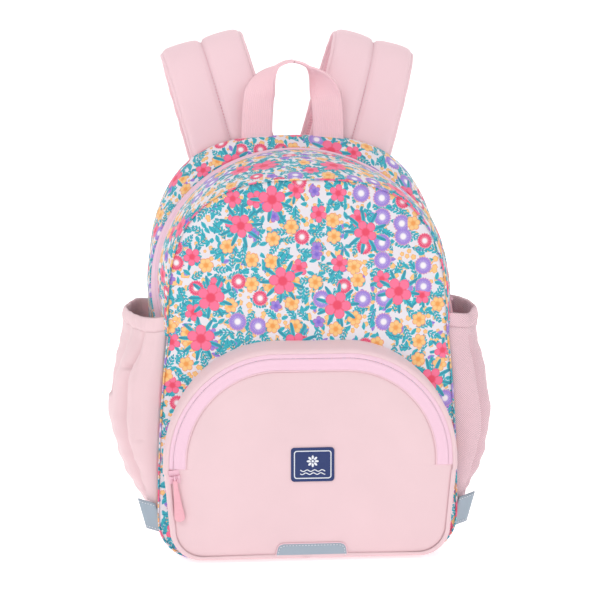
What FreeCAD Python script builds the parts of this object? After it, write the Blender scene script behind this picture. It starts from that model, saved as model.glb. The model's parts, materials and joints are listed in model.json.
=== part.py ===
import FreeCAD, Part
import Sketcher
import math
import os

os.makedirs("parts", exist_ok=True)
doc = FreeCAD.newDocument("school_backpack")
Vector = FreeCAD.Vector
RIGHT = Vector(1, 0, 0)
BACK = Vector(0, 1, 0)
UP = Vector(0, 0, 1)

# ---------------------------------------------------------------- driving dimensions, mm and degrees
DIMENSIONS = [
    ("body_half_width", 115), ("back_face", 60), ("front_face", -62), ("cloth", 2.4), ("joint_gap", 0.4),
    ("base_corner", 30), ("fold_height", 172),
    ("back_half_width", 113), ("back_top", 316), ("back_centre", 190), ("back_power", 3),
    ("seam_half_width", 107), ("seam_top", 289), ("seam_centre", 180), ("seam_power", 2.8), ("seam_lean", 17),
    ("zip_radius", 113), ("zip_lean", 28), ("zip_centre_y", -10.5), ("zip_centre_z", 207),
    ("zip_cone", 35), ("tape_width", 5), ("tape_thickness", 1), ("coil_half_width", 1.5),
    ("coil_thickness", 2), ("coil_proud", 0.5),
    ("pocket_arc_centre_x", 26), ("pocket_arc_centre_z", 78), ("pocket_zip_radius", 79),
    ("pocket_back_reach", 82), ("pocket_back_rise", 90), ("pocket_face", -84), ("pocket_bottom", 4),
    ("pocket_corner", 22), ("pocket_taper", 5), ("pocket_fold", 63), ("pocket_tape_width", 4.5),
    ("piping_width", 1.4), ("piping_proud", 1.2),
    ("pouch_rim", 176), ("elastic_clearance", 1.1), ("pouch_cloth", 1.6), ("elastic", 2.4),
    ("strap_width", 66), ("strap_tip_width", 34), ("strap_thickness", 10), ("webbing_width", 25),
    ("webbing_thickness", 1.8), ("handle_half_span", 29), ("handle_base", 317.6), ("handle_crown", 377),
    ("handle_y", 57.8), ("handle_straight", 16),
    ("board_width", 196), ("board_height", 250), ("board_thickness", 3), ("board_corner", 50),
    ("pad_width", 76), ("pad_height", 190), ("pad_thickness", 7), ("pad_corner", 20),
    ("low_pad_width", 130), ("low_pad_height", 34), ("low_pad_corner", 12),
    ("yoke_width", 130), ("yoke_height", 22), ("yoke_thickness", 2), ("yoke_corner", 4),
    ("label_width", 33), ("label_height", 26), ("label_thickness", 1.4), ("label_corner", 4),
    ("reflector_width", 54), ("reflector_height", 10), ("reflector_thickness", 1), ("reflector_corner", 2.5),
    ("tab_width", 11), ("tab_height", 22), ("tab_thickness", 1.2), ("tab_corner", 3),
    ("lock_width", 32), ("lock_height", 26), ("lock_thickness", 4), ("lock_corner", 3),
    ("slot_width", 26), ("slot_height", 5), ("slot_offset", 7),
    ("slider_length", 10), ("slider_width", 8), ("slider_thickness", 1.6), ("slider_gap", 0.9),
    ("post_width", 1.2), ("post_length", 2.4), ("pin_radius", 0.8), ("pin_lift", 1.7),
    ("pin_clearance", 0.06), ("pull_thickness", 2.6), ("pull_width", 5), ("pull_length", 34),
    ("main_slider_angle", 98), ("main_pull_lift", 12), ("zip_open_angle", 91), ("zip_end_rise", 3.4),
    ("pocket_zip_open", 75.4), ("pocket_slider_angle", -7),
]

sheet = doc.addObject("Spreadsheet::Sheet", "dimensions")
for row, (alias, number) in enumerate(DIMENSIONS, start=1):
    sheet.set(f"A{row}", alias)
    sheet.set(f"B{row}", str(number))
    sheet.setAlias(f"B{row}", alias)
doc.recompute()


def size(alias):
    """One driving dimension as a number."""
    return float(sheet.get(alias))


CLOTH = size("cloth")
GAP = size("joint_gap")
FOLD = size("fold_height")
BACK_Y = size("back_face")
FRONT_Y = size("front_face")
POCKET_Y = size("pocket_face")
POCKET_FOLD = size("pocket_fold")

# ---------------------------------------------------------------- ways of making a sub-part
sub_parts = []


def feature(name, shape):
    """A sub-part of sewn cloth, whose shape no pad or primitive fits."""
    made = doc.addObject("Part::Feature", name)
    made.Label = name
    made.Shape = shape
    sub_parts.append(made)
    return made


def origin_plane(body, role):
    """One of a body's own origin planes."""
    return next(plane for plane in body.Origin.OriginFeatures if plane.Role == role)


def rectangle_sketch(body, name, plane, width, height, rise=None):
    """A rectangle bound to the sheet, centred on the origin or at a rise above it ("-cell" for below)."""
    sketch = body.newObject("Sketcher::SketchObject", name)
    sketch.AttachmentSupport = [(origin_plane(body, plane), "")]
    sketch.MapMode = "FlatFace"
    half_w, half_h = size(width) / 2, size(height) / 2
    middle, lifted = 0, f"dimensions.{height} / 2"
    if rise:
        sign, cell = ("-", rise[1:]) if rise.startswith("-") else ("", rise)
        middle = size(cell) * (-1 if sign else 1)
        lifted += f" {sign or '+'} dimensions.{cell}"
    corners = [(-half_w, middle - half_h), (half_w, middle - half_h),
               (half_w, middle + half_h), (-half_w, middle + half_h)]
    for number in range(4):
        start, end = corners[number], corners[(number + 1) % 4]
        sketch.addGeometry(Part.LineSegment(Vector(*start, 0), Vector(*end, 0)), False)
    for number in range(4):
        sketch.addConstraint(Sketcher.Constraint("Coincident", number, 2, (number + 1) % 4, 1))
        sketch.addConstraint(Sketcher.Constraint(("Horizontal", "Vertical")[number % 2], number))
    driven = [
        (Sketcher.Constraint("DistanceX", 0, 1, 0, 2, 2 * half_w), f"dimensions.{width}"),
        (Sketcher.Constraint("DistanceY", 1, 1, 1, 2, 2 * half_h), f"dimensions.{height}"),
        (Sketcher.Constraint("DistanceX", -1, 1, 0, 2, half_w), f"dimensions.{width} / 2"),
    ]
    for constraint, bound in driven:
        number = sketch.addConstraint(constraint)
        sketch.setExpression(f"Constraints[{number}]", bound)
    # The height of the top edge is bound as the distance of its corner from the origin, up or down.
    top = middle + half_h
    ends = (-1, 1, 1, 2) if top >= 0 else (1, 2, -1, 1)
    number = sketch.addConstraint(Sketcher.Constraint("DistanceY", *ends, abs(top)))
    sketch.setExpression(f"Constraints[{number}]", lifted if top >= 0 else f"-({lifted})")
    return sketch


def plate(name, plane, width, height, thickness, corner, place):
    """A flat plate with rounded corners, padded from one of the body's origin planes."""
    body = doc.addObject("PartDesign::Body", name)
    body.Label = name
    outline = rectangle_sketch(body, f"{name}_outline", plane, width, height)
    pad = body.newObject("PartDesign::Pad", f"{name}_pad")
    pad.Profile = outline
    pad.setExpression("Length", f"dimensions.{thickness}")
    doc.recompute()
    depth = size(thickness)
    edges = [f"Edge{number}" for number, edge in enumerate(pad.Shape.Edges, start=1)
             if abs(edge.Length - depth) < 1e-6]
    rounding = body.newObject("PartDesign::Fillet", f"{name}_corners")
    rounding.Base = (pad, edges)
    rounding.setExpression("Radius", f"dimensions.{corner}")
    body.Tip = rounding
    body.Placement = place
    doc.recompute()
    sub_parts.append(body)
    return body


def at(x, y, z, axis=UP, angle=0):
    """A placement: a turn about an axis, then a move."""
    return FreeCAD.Placement(Vector(x, y, z), FreeCAD.Rotation(axis, angle))


def loft(sections):
    """A solid through polygon sections that have equally many corners."""
    wires = [Part.makePolygon(list(points) + [points[0]]) for points in sections]
    return Part.makeLoft(wires, True, True)


def band(outer, inner, thickness, inward, proud=0):
    """A strip of cloth between two edges; inward gives the direction of its thickness at each station."""
    sections = []
    for one, two, into in zip(outer, inner, inward):
        top_one, top_two = one - into * proud, two - into * proud
        sections.append([top_one, top_two, top_two + into * thickness, top_one + into * thickness])
    return loft(sections)


def flat_panel(points, normal, thickness):
    """A flat panel with a polygon outline, thickened along a normal."""
    face = Part.Face(Part.makePolygon(list(points) + [points[0]]))
    return face.extrude(normal * thickness)


def spread(path, count):
    """Points spaced evenly by length along a path."""
    lengths = [0.0]
    for before, after in zip(path, path[1:]):
        lengths.append(lengths[-1] + before.distanceToPoint(after))
    spaced = []
    for number in range(count + 1):
        wanted = lengths[-1] * number / count
        place = max(index for index in range(len(path) - 1) if lengths[index] <= wanted + 1e-9)
        share = (wanted - lengths[place]) / (lengths[place + 1] - lengths[place])
        spaced.append(path[place] + (path[place + 1] - path[place]) * share)
    return spaced


def both_sides(right_half):
    """A right half that starts at the top centre, mirrored into a run from left to right."""
    left = [Vector(-point.x, point.y, point.z) for point in reversed(right_half[1:])]
    return left + list(right_half)


# ---------------------------------------------------------------- outlines of the body
ARCH_STEPS = 16
DENSE = 240


def arch_right(half_width, top, centre, power, depth_at):
    """The right half of an arch, a superellipse above its centre and straight below, down to the fold."""
    path = []
    for step in range(DENSE + 1):
        turn = math.pi / 2 * step / DENSE
        x = half_width * math.sin(turn) ** (2 / power)
        z = centre + (top - centre) * max(math.cos(turn), 0) ** (2 / power)
        path.append(Vector(x, depth_at(z), z))
    path.append(Vector(half_width, depth_at(FOLD), FOLD))
    return spread(path, ARCH_STEPS)


def seam_y(z):
    """Depth of the upper front panel, which leans back above the fold."""
    return FRONT_Y + size("seam_lean") * (z - FOLD) / (size("seam_top") - FOLD)


back_arch = both_sides(arch_right(size("back_half_width"), size("back_top"), size("back_centre"),
                                  size("back_power"), lambda z: BACK_Y))
seam_arch = both_sides(arch_right(size("seam_half_width"), size("seam_top"), size("seam_centre"),
                                  size("seam_power"), seam_y))

lean = math.radians(size("zip_lean"))
cone = math.radians(size("zip_cone"))
ZIP_CENTRE = Vector(0, size("zip_centre_y"), size("zip_centre_z"))
ZIP_UP = Vector(0, math.sin(lean), math.cos(lean))
ZIP_AXIS = Vector(0, -math.cos(lean), math.sin(lean))
zip_drop = (ZIP_CENTRE.z - FOLD - size("zip_end_rise")) / (size("zip_radius") * math.cos(lean))
ZIP_END = math.degrees(math.acos(-zip_drop))


def zip_frame(angle):
    """At an angle from the top: the zip's middle, its way forward in the band, and its outward normal."""
    turn = math.radians(angle)
    radial = RIGHT * math.sin(turn) + ZIP_UP * math.cos(turn)
    forward = ZIP_AXIS * math.cos(cone) - radial * math.sin(cone)
    outward = radial * math.cos(cone) + ZIP_AXIS * math.sin(cone)
    return ZIP_CENTRE + radial * size("zip_radius"), forward, outward


ZIP_OPEN = size("zip_open_angle")


def zip_line(reach, start=-ZIP_END, end=ZIP_END, steps=2 * ARCH_STEPS):
    """A line in the zip's band, reach in front of its middle, or behind it when negative."""
    frames = [zip_frame(start + (end - start) * step / steps) for step in range(steps + 1)]
    return [middle + forward * reach for middle, forward, _ in frames]


def zip_strip(one, two, thickness, proud=0, start=-ZIP_END, end=ZIP_END, steps=2 * ARCH_STEPS):
    """A strip of the zip's band between two reaches, from one angle to another."""
    frames = [zip_frame(start + (end - start) * step / steps) for step in range(steps + 1)]
    return band(zip_line(one, start, end, steps), zip_line(two, start, end, steps), thickness,
                [outward * -1 for _, _, outward in frames], proud)



def inward_above(points):
    """Directions from the upper part of the body towards its middle."""
    return [Vector(-point.x, 0, FOLD - point.z).normalize() for point in points]


def lower_right(half_width, y):
    """The right half of the body below the fold: side, round corner and bottom, with inward directions."""
    corner = size("base_corner")
    wide = size("body_half_width")
    points, inward = [], []
    top = FOLD - GAP
    for step in range(5):
        z = top + (corner - top) * step / 4
        x = wide - (wide - half_width) * ((z - corner) / (FOLD - corner)) ** 2
        points.append(Vector(x, y, z))
        inward.append(RIGHT * -1)
    for step in range(1, 7):
        turn = math.pi / 2 * step / 6
        away = Vector(math.cos(turn), 0, -math.sin(turn))
        points.append(Vector(wide - corner, y, corner) + away * corner)
        inward.append(away * -1)
    return points, inward


def mirrored(points):
    """The same points on the left."""
    return [Vector(-point.x, point.y, point.z) for point in points]


back_low, low_inward = lower_right(size("back_half_width"), BACK_Y)
front_low, _ = lower_right(size("seam_half_width"), FRONT_Y)
SIDE_STATIONS = 5

# ---------------------------------------------------------------- body of the bag
tape_edge = size("coil_half_width") + size("tape_width")
upper_inward = inward_above(back_arch)
feature("rear_gusset", band(back_arch, zip_line(-tape_edge), CLOTH, upper_inward))
coil_edge = size("coil_half_width")
feature("rear_zip_tape", zip_strip(2 * GAP - tape_edge, -coil_edge, size("tape_thickness")))
feature("rear_zip_coil", zip_strip(-coil_edge, -GAP / 2, size("coil_thickness"), size("coil_proud")))

# Under the flap's corners the front tape and a triangle of the gusset stay with the body.
END_STEPS = 4
end_start = ZIP_OPEN + 0.5
for side, sign in (("left", -1), ("right", 1)):
    feature(f"zip_end_{side}", zip_strip(tape_edge, GAP / 2, size("tape_thickness"), 0,
                                         sign * end_start, sign * ZIP_END, END_STEPS))
    edge = zip_line(tape_edge + 0.1, sign * end_start, sign * ZIP_END, 1)
    triangle = [Vector(sign * size("seam_half_width"), FRONT_Y + CLOTH + GAP, FOLD + GAP)] + edge
    feature(f"corner_gusset_{side}", flat_panel(triangle, RIGHT * -sign, CLOTH))

for side, flip in (("left", mirrored), ("right", list)):
    feature(f"side_panel_{side}", band(flip(back_low[:SIDE_STATIONS]), flip(front_low[:SIDE_STATIONS]),
                                       CLOTH, flip(low_inward[:SIDE_STATIONS])))

base_back = back_low[SIDE_STATIONS - 1:]
base_front = front_low[SIDE_STATIONS - 1:]
base_inward = low_inward[SIDE_STATIONS - 1:]
feature("base_panel", band(base_back + mirrored(base_back)[::-1], base_front + mirrored(base_front)[::-1],
                           CLOTH, base_inward + mirrored(base_inward)[::-1]))


def inset(points, inward, ease=0.02):
    """An outline drawn in by the thickness of the cloth that is sewn round it, and a little ease."""
    return [point + into * (CLOTH + ease) for point, into in zip(points, inward)]


SLOPE_EASE = 2.2
low_outline_back = inset(back_low, low_inward, SLOPE_EASE)
back_outline = inset(back_arch, upper_inward, SLOPE_EASE) + low_outline_back + mirrored(low_outline_back)[::-1]
feature("back_panel", flat_panel(back_outline, BACK * -1, CLOTH))
low_outline_front = inset(front_low, low_inward)
feature("front_lower_panel", flat_panel(low_outline_front + mirrored(low_outline_front)[::-1], BACK, CLOTH))

board_y = BACK_Y - CLOTH - 0.2
plate("back_board", "XZ_Plane", "board_width", "board_height", "board_thickness", "board_corner",
      at(0, board_y, 150))
for side, sign in (("left", -1), ("right", 1)):
    plate(f"back_pad_{side}", "XZ_Plane", "pad_width", "pad_height", "pad_thickness", "pad_corner",
          at(sign * 45, BACK_Y + size("pad_thickness"), 180))
plate("back_pad_low", "XZ_Plane", "low_pad_width", "low_pad_height", "pad_thickness", "low_pad_corner",
      at(0, BACK_Y + size("pad_thickness"), 60))
plate("top_yoke", "XZ_Plane", "yoke_width", "yoke_height", "yoke_thickness", "yoke_corner",
      at(0, BACK_Y + size("yoke_thickness"), 291))

# ---------------------------------------------------------------- front flap, opened by the main zip
seam_inward = inward_above(seam_arch)
flap_edge = zip_line(tape_edge, -ZIP_OPEN, ZIP_OPEN)
feature("front_gusset", band(seam_arch, flap_edge, CLOTH, seam_inward))
feature("front_zip_tape", zip_strip(tape_edge, coil_edge, size("tape_thickness"), 0, -ZIP_OPEN, ZIP_OPEN))
feature("front_zip_coil", zip_strip(coil_edge, GAP / 2, size("coil_thickness"), size("coil_proud"),
                                    -ZIP_OPEN, ZIP_OPEN))
panel_in = Vector(0, size("seam_top") - FOLD, -size("seam_lean")).normalize()
panel_outline = [Vector(point.x, seam_y(point.z), point.z) for point in inset(seam_arch, seam_inward)]
feature("front_panel", flat_panel(panel_outline, panel_in, CLOTH))
piping_out = [point - panel_in * (size("piping_proud") + 0.02) for point in seam_arch]
piping_in = [point + into * size("piping_width") for point, into in zip(piping_out, seam_inward)]
feature("front_piping", band(piping_out, piping_in, size("piping_proud"), [panel_in] * len(seam_arch)))

# ---------------------------------------------------------------- front pocket
CORNER_STEPS = 6
POCKET_STEPS = 10
POCKET_EASE = 0.6


def pocket_top(reach, rise, y):
    """The right half of the pocket's arch: a flat top and a quarter of an ellipse."""
    points = [Vector(0, y, size("pocket_arc_centre_z") + rise)]
    for step in range(POCKET_STEPS + 1):
        turn = math.pi / 2 * step / POCKET_STEPS
        points.append(Vector(size("pocket_arc_centre_x") + reach * math.sin(turn), y,
                             size("pocket_arc_centre_z") + rise * math.cos(turn)))
    return points


def pocket_low(half_width, y):
    """The right half of the pocket below its arch: a tapered side and a round corner."""
    corner = size("pocket_corner")
    low = half_width - size("pocket_taper")
    points = [Vector(half_width, y, POCKET_FOLD)]
    for step in range(CORNER_STEPS + 1):
        turn = math.pi / 2 * step / CORNER_STEPS
        points.append(Vector(low - corner + corner * math.cos(turn), y,
                             size("pocket_bottom") + corner - corner * math.sin(turn)))
    return points


def pocket_half(reach, rise, y):
    """The right half of the pocket's outline, from its top centre to its bottom centre."""
    side = pocket_low(size("pocket_arc_centre_x") + reach, y)
    return pocket_top(reach, rise, y) + side + [Vector(0, y, size("pocket_bottom"))]


tape_half = size("coil_half_width") + size("pocket_tape_width")
pocket_edge = size("pocket_zip_radius") + tape_half
wall_back = pocket_half(size("pocket_back_reach"), size("pocket_back_rise"), FRONT_Y - 0.02)
wall_front = pocket_half(pocket_edge, pocket_edge, POCKET_Y)


def pocket_inward(points):
    """Directions towards the middle of the pocket."""
    middle = Vector(0, 0, size("pocket_arc_centre_z") * 0.9)
    return [(middle - Vector(point.x, 0, point.z)).normalize() for point in points]


ring_inward = pocket_inward(wall_front)
gusset_sections = []
for behind, ahead, into in zip(wall_back, wall_front, ring_inward):
    gusset_sections.append([behind, ahead, ahead + into * CLOTH, behind + into * CLOTH])
right_wall = loft(gusset_sections)
feature("pocket_gusset", right_wall.fuse(right_wall.mirror(Vector(0, 0, 0), RIGHT)).removeSplitter())


def pocket_run(radius, end, y):
    """A line along the pocket's zip at a radius, from the left end over the top to the right end."""
    arc = pocket_top(radius, radius, y)
    arc.append(Vector(arc[-1].x, y, end))
    return both_sides(arc)


def pocket_tape(outer, inner, end, thickness, proud=0):
    """A strip of the pocket's zip between two radii, lying in the face of the pocket."""
    one, two = pocket_run(outer, end, POCKET_Y), pocket_run(inner, end, POCKET_Y)
    return band(one, two, thickness, [BACK] * len(one), proud)


coil_out = size("pocket_zip_radius") + size("coil_half_width")
coil_in = size("pocket_zip_radius") - size("coil_half_width")
flap_end = POCKET_FOLD + GAP
feature("pocket_zip_tape_outer", pocket_tape(pocket_edge - CLOTH - 0.4, coil_out, flap_end,
                                             size("tape_thickness")))
feature("pocket_zip_coil_outer", pocket_tape(coil_out, size("pocket_zip_radius") + GAP / 2, flap_end,
                                             size("coil_thickness"), size("coil_proud")))
feature("pocket_zip_coil_inner", pocket_tape(size("pocket_zip_radius") - GAP / 2, coil_in,
                                             size("pocket_zip_open"), size("coil_thickness"),
                                             size("coil_proud")))
panel_radius = size("pocket_zip_radius") - tape_half
feature("pocket_zip_tape_inner", pocket_tape(coil_in, panel_radius, size("pocket_zip_open"),
                                             size("tape_thickness")))
tape_in = size("pocket_arc_centre_x") + panel_radius + 1.2
tape_out = size("pocket_arc_centre_x") + size("pocket_zip_radius") - GAP / 2
for side, sign in (("left", -1), ("right", 1)):
    low, high = flap_end, size("pocket_zip_open") - GAP
    corners = [Vector(sign * x, POCKET_Y, z) for x, z in
               ((tape_in, low), (tape_out, low), (tape_out, high), (tape_in, high))]
    feature(f"pocket_zip_end_{side}", flat_panel(corners, BACK, size("tape_thickness")))
feature("pocket_upper_panel", flat_panel(pocket_run(panel_radius, flap_end, POCKET_Y), BACK, CLOTH))
feature("pocket_piping", pocket_tape(panel_radius + size("piping_width") / 2,
                                     panel_radius - size("piping_width") / 2, flap_end,
                                     size("piping_proud"), size("piping_proud") + 0.02))

low_right = pocket_low(size("pocket_arc_centre_x") + pocket_edge, POCKET_Y)
low_right.append(Vector(0, POCKET_Y, size("pocket_bottom")))
low_panel = inset(low_right, pocket_inward(low_right), POCKET_EASE)
feature("pocket_lower_panel", flat_panel(low_panel + mirrored(low_panel[:-1])[::-1], BACK, CLOTH))

plate("label", "XZ_Plane", "label_width", "label_height", "label_thickness", "label_corner",
      at(0, POCKET_Y - 0.05, 76.8))
plate("bottom_reflector", "XZ_Plane", "reflector_width", "reflector_height", "reflector_thickness",
      "reflector_corner", at(0, POCKET_Y - 0.05, 10.6))
for side, sign in (("left", -1), ("right", 1)):
    plate(f"reflective_tab_{side}", "XZ_Plane", "tab_width", "tab_height", "tab_thickness", "tab_corner",
          at(sign * 122, FRONT_Y + 3, 34, BACK, sign * -6))

# ---------------------------------------------------------------- side pouches
POUCH_PROFILE = [(28, 1.9), (36, 5), (50, 13), (78, 25), (110, 31), (146, 30), (176, 25.5), (187, 24.5)]
POUCH_STEPS = 12
POUCH_FRONT, POUCH_BACK = -50, 48


def side_surface(y, z):
    """Half width of the side panel at a depth and height."""
    corner = size("base_corner")
    drop = (max(z - corner, 0) / (FOLD - corner)) ** 2
    share = (y - FRONT_Y) / (BACK_Y - FRONT_Y)
    wide = size("body_half_width")
    front = wide - (wide - size("seam_half_width")) * drop
    rear = wide - (wide - size("back_half_width")) * drop
    return front + (rear - front) * share


def pouch_section(z, bulge, thickness, sign, clearance=0.1, proud=0):
    """A level cut through a pouch: an outer half ellipse and an inner one, open towards the body."""
    middle, half = (POUCH_FRONT + POUCH_BACK) / 2, (POUCH_BACK - POUCH_FRONT) / 2
    outer, inner = [], []
    for step in range(POUCH_STEPS + 1):
        turn = math.pi * step / POUCH_STEPS
        rim = side_surface(middle - half * math.cos(turn), min(z, FOLD)) + clearance
        reach = bulge * math.sin(turn) ** 0.8
        outer.append(Vector(sign * (rim + reach + proud * math.sin(turn)),
                            middle - (half + proud) * math.cos(turn), z))
        inner.append(Vector(sign * (rim + reach * (bulge - thickness) / bulge),
                            middle - (half - thickness) * math.cos(turn), z))
    return outer + inner[::-1]


for side, sign in (("left", -1), ("right", 1)):
    levels = [level for level in POUCH_PROFILE if level[0] <= size("pouch_rim")]
    feature(f"side_pouch_{side}", loft([pouch_section(z, bulge, size("pouch_cloth"), sign)
                                        for z, bulge in levels]))
    levels = [level for level in POUCH_PROFILE if level[0] >= size("pouch_rim")]
    feature(f"pouch_elastic_{side}", loft([pouch_section(z, bulge, size("elastic"), sign,
                                                         size("elastic_clearance"), 0.6)
                                           for z, bulge in levels]))

# ---------------------------------------------------------------- handle
HANDLE_STEPS = 24


def handle_section(share):
    """A cut through the handle's webbing: it faces forward at its feet and turns edge-on at the crown."""
    half_span, straight = size("handle_half_span"), size("handle_straight")
    rise = size("handle_crown") - size("handle_base") - straight
    turn = math.pi * share
    ease = math.sin(turn)
    leg = straight * max(0, 1 - ease * 3)
    centre = Vector(-half_span * math.cos(turn), size("handle_y"),
                    size("handle_base") + straight - leg + rise * ease)
    along = Vector(half_span * math.sin(turn), 0, rise * math.cos(turn)).normalize()
    across = along.cross(BACK)
    twist = math.pi / 2 * min(1, max(0, (ease - 0.3) / 0.6)) * (1 if share <= 0.5 else -1)
    width = across * math.cos(twist) + BACK * math.sin(twist)
    thick = along.cross(width)
    half_w, half_t = size("webbing_width") / 2, size("webbing_thickness") / 2
    return [centre - width * half_w - thick * half_t, centre + width * half_w - thick * half_t,
            centre + width * half_w + thick * half_t, centre - width * half_w + thick * half_t]


half_count = HANDLE_STEPS // 2
left_half = loft([handle_section(step / HANDLE_STEPS) for step in range(half_count + 1)])
right_half = left_half.mirror(Vector(0, 0, 0), RIGHT)
feature("handle", left_half.fuse(right_half).removeSplitter())

# ---------------------------------------------------------------- shoulder straps
STRAP_ROUTE = [(67, 305.5), (71, 345), (82, 376), (100, 390), (117, 377), (126, 343), (128, 285),
               (123, 215), (114, 150)]
STRAP_STEPS = 26
STRAP_IN, STRAP_OUT = 47, 70
STRAP_SPLAY = 0.28
STRAP_CROWN_Y = 100
HALF_SPACE = 400


def strap_side(z):
    """A strap's distance from the middle at a height, and its slope: splayed above its seam, upright at its tip."""
    low, high = STRAP_ROUTE[-1][1], STRAP_ROUTE[0][1]
    if z >= high:
        return STRAP_IN + STRAP_SPLAY * (z - high), STRAP_SPLAY
    span = high - low
    share = max(0, (z - low) / span)
    x = STRAP_OUT + (STRAP_IN - STRAP_OUT) * share ** 2 * (3 - 2 * share)
    x += STRAP_SPLAY * span * share ** 2 * (share - 1)
    slope = (STRAP_IN - STRAP_OUT) * 6 * share * (1 - share) / span + STRAP_SPLAY * share * (3 * share - 2)
    return x, slope


def strap_frame(curve, share, sign):
    """Centre of a strap at a share of its route, with its directions across and through."""
    first, last = curve.FirstParameter, curve.LastParameter
    parameter = first + (last - first) * share
    along, centre = Vector(*curve.tangent(parameter)[0]), curve.value(parameter)
    x, slope = strap_side(centre.z)
    across = Vector(1, 0, -sign * slope).normalize()
    along = Vector(sign * slope * along.z, along.y, along.z).normalize()
    return Vector(sign * x, centre.y, centre.z), across, across.cross(along)


route = Part.BSplineCurve()
route.interpolate([Vector(0, y, z) for y, z in STRAP_ROUTE])
for side, sign in (("left", -1), ("right", 1)):
    sections = []
    for step in range(STRAP_STEPS + 1):
        share = step / STRAP_STEPS
        middle, across, thick = strap_frame(route, share, sign)
        taper = max(0, (share - 0.7) / 0.3)
        half_w = (size("strap_width") + (size("strap_tip_width") - size("strap_width")) * taper ** 2) / 2
        half_t = size("strap_thickness") / 2
        sections.append([middle - across * half_w - thick * half_t, middle + across * half_w - thick * half_t,
                         middle + across * half_w + thick * half_t, middle - across * half_w + thick * half_t])
    # Behind its crown the strap hangs free; in front it is sewn to the bag.
    whole = loft(sections)
    for name, start in ((f"strap_front_{side}", -HALF_SPACE), (f"strap_{side}", GAP / 2)):
        corner = Vector(-HALF_SPACE, STRAP_CROWN_Y + start, 0)
        length = HALF_SPACE - GAP / 2 if start < 0 else HALF_SPACE
        feature(name, whole.common(Part.makeBox(2 * HALF_SPACE, length, 2 * HALF_SPACE, corner)))

# ---------------------------------------------------------------- ladder locks, lower webbing and wings
LOCK_Y, LOCK_Z = 112, 136
for side, sign in (("left", -1), ("right", 1)):
    name = f"ladder_lock_{side}"
    lock = plate(name, "XZ_Plane", "lock_width", "lock_height", "lock_thickness", "lock_corner",
                 at(sign * STRAP_OUT, LOCK_Y + 2, LOCK_Z, RIGHT, -6))
    solid_volume = lock.Shape.Volume
    for number, rise in enumerate(("slot_offset", "-slot_offset")):
        slot = rectangle_sketch(lock, f"{name}_slot_{number}", "XZ_Plane", "slot_width", "slot_height", rise)
        cut = lock.newObject("PartDesign::Pocket", f"{name}_cut_{number}")
        cut.Profile = slot
        cut.Type = "ThroughAll"
        cut.Midplane = True
        lock.Tip = cut
    doc.recompute()
    assert lock.Shape.Volume < solid_volume - size("slot_width") * size("slot_height") * 4

    wing = [Vector(sign * 111, BACK_Y + 0.1, 24), Vector(sign * 111, BACK_Y + 0.1, 66),
            Vector(sign * 84, BACK_Y + 0.1, 52), Vector(sign * 84, BACK_Y + 0.1, 28)]
    wing = wing if sign < 0 else wing[::-1]
    feature(f"strap_wing_{side}", flat_panel(wing, BACK, CLOTH))

    half_w = size("webbing_width") / 2
    thick = size("webbing_thickness")
    low = Vector(sign * 96, BACK_Y + CLOTH + 0.4, 40)
    high = Vector(sign * STRAP_OUT, LOCK_Y - 3, LOCK_Z - 14)
    ends = []
    for end in (low, high):
        ends.append([end + RIGHT * half_w, end - RIGHT * half_w,
                     end - RIGHT * half_w + BACK * thick, end + RIGHT * half_w + BACK * thick])
    feature(f"lower_webbing_{side}", loft(ends))


# ---------------------------------------------------------------- zip sliders and pulls
def primitive(kind, name, bounds, place=None):
    """A Part primitive with its sizes bound to the sheet."""
    made = doc.addObject(f"Part::{kind}", name)
    for key, expression in bounds.items():
        made.setExpression(key, expression)
    made.Placement = place or FreeCAD.Placement()
    return made


def slider(name, place):
    """A slider: a plate over the coil, two posts and the cross pin that carries the pull."""
    cell = "dimensions."
    length, width = size("slider_length"), size("slider_width")
    gap, thick = size("slider_gap"), size("slider_thickness")
    pieces = [primitive("Box", f"{name}_plate",
                        {"Length": f"{cell}slider_length", "Width": f"{cell}slider_width",
                         "Height": f"{cell}slider_thickness"}, at(-length / 2, -width / 2, gap))]
    post_w, post_l = size("post_width"), size("post_length")
    for number, y in enumerate((-width / 2, width / 2 - post_w)):
        pieces.append(primitive("Box", f"{name}_post_{number}",
                                {"Length": f"{cell}post_length", "Width": f"{cell}post_width",
                                 "Height": f"{cell}pin_lift + {cell}pin_radius + 0.6"},
                                at(-post_l / 2, y, gap + thick)))
    pieces.append(primitive("Cylinder", f"{name}_pin",
                            {"Radius": f"{cell}pin_radius", "Height": f"{cell}slider_width - 0.2"},
                            at(0, width / 2 - 0.1, gap + thick + size("pin_lift"), RIGHT, 90)))
    fused = doc.addObject("Part::MultiFuse", name)
    fused.Label = name
    fused.Shapes = pieces
    fused.Placement = place
    sub_parts.append(fused)


def pull(name, place):
    """A pull: a round eye on the cross pin and a flat tongue that hangs from it."""
    cell = "dimensions."
    lift = size("slider_gap") + size("slider_thickness") + size("pin_lift")
    width, thick = size("pull_width"), size("pull_thickness")
    eye = primitive("Cylinder", f"{name}_eye",
                    {"Radius": f"{cell}pull_thickness / 2", "Height": f"{cell}pull_width"},
                    at(0, width / 2, lift, RIGHT, 90))
    tongue = primitive("Box", f"{name}_tongue",
                       {"Length": f"{cell}pull_length", "Width": f"{cell}pull_width",
                        "Height": f"{cell}pull_thickness"}, at(0, -width / 2, lift - thick / 2))
    hole = primitive("Cylinder", f"{name}_hole",
                     {"Radius": f"{cell}pin_radius + {cell}pin_clearance",
                      "Height": f"{cell}pull_width + 2"},
                     at(0, width / 2 + 1, lift, RIGHT, 90))
    solid = doc.addObject("Part::MultiFuse", f"{name}_solid")
    solid.Shapes = [eye, tongue]
    made = doc.addObject("Part::Cut", name)
    made.Label = name
    made.Base = solid
    made.Tool = hole
    made.Placement = place
    sub_parts.append(made)


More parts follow.
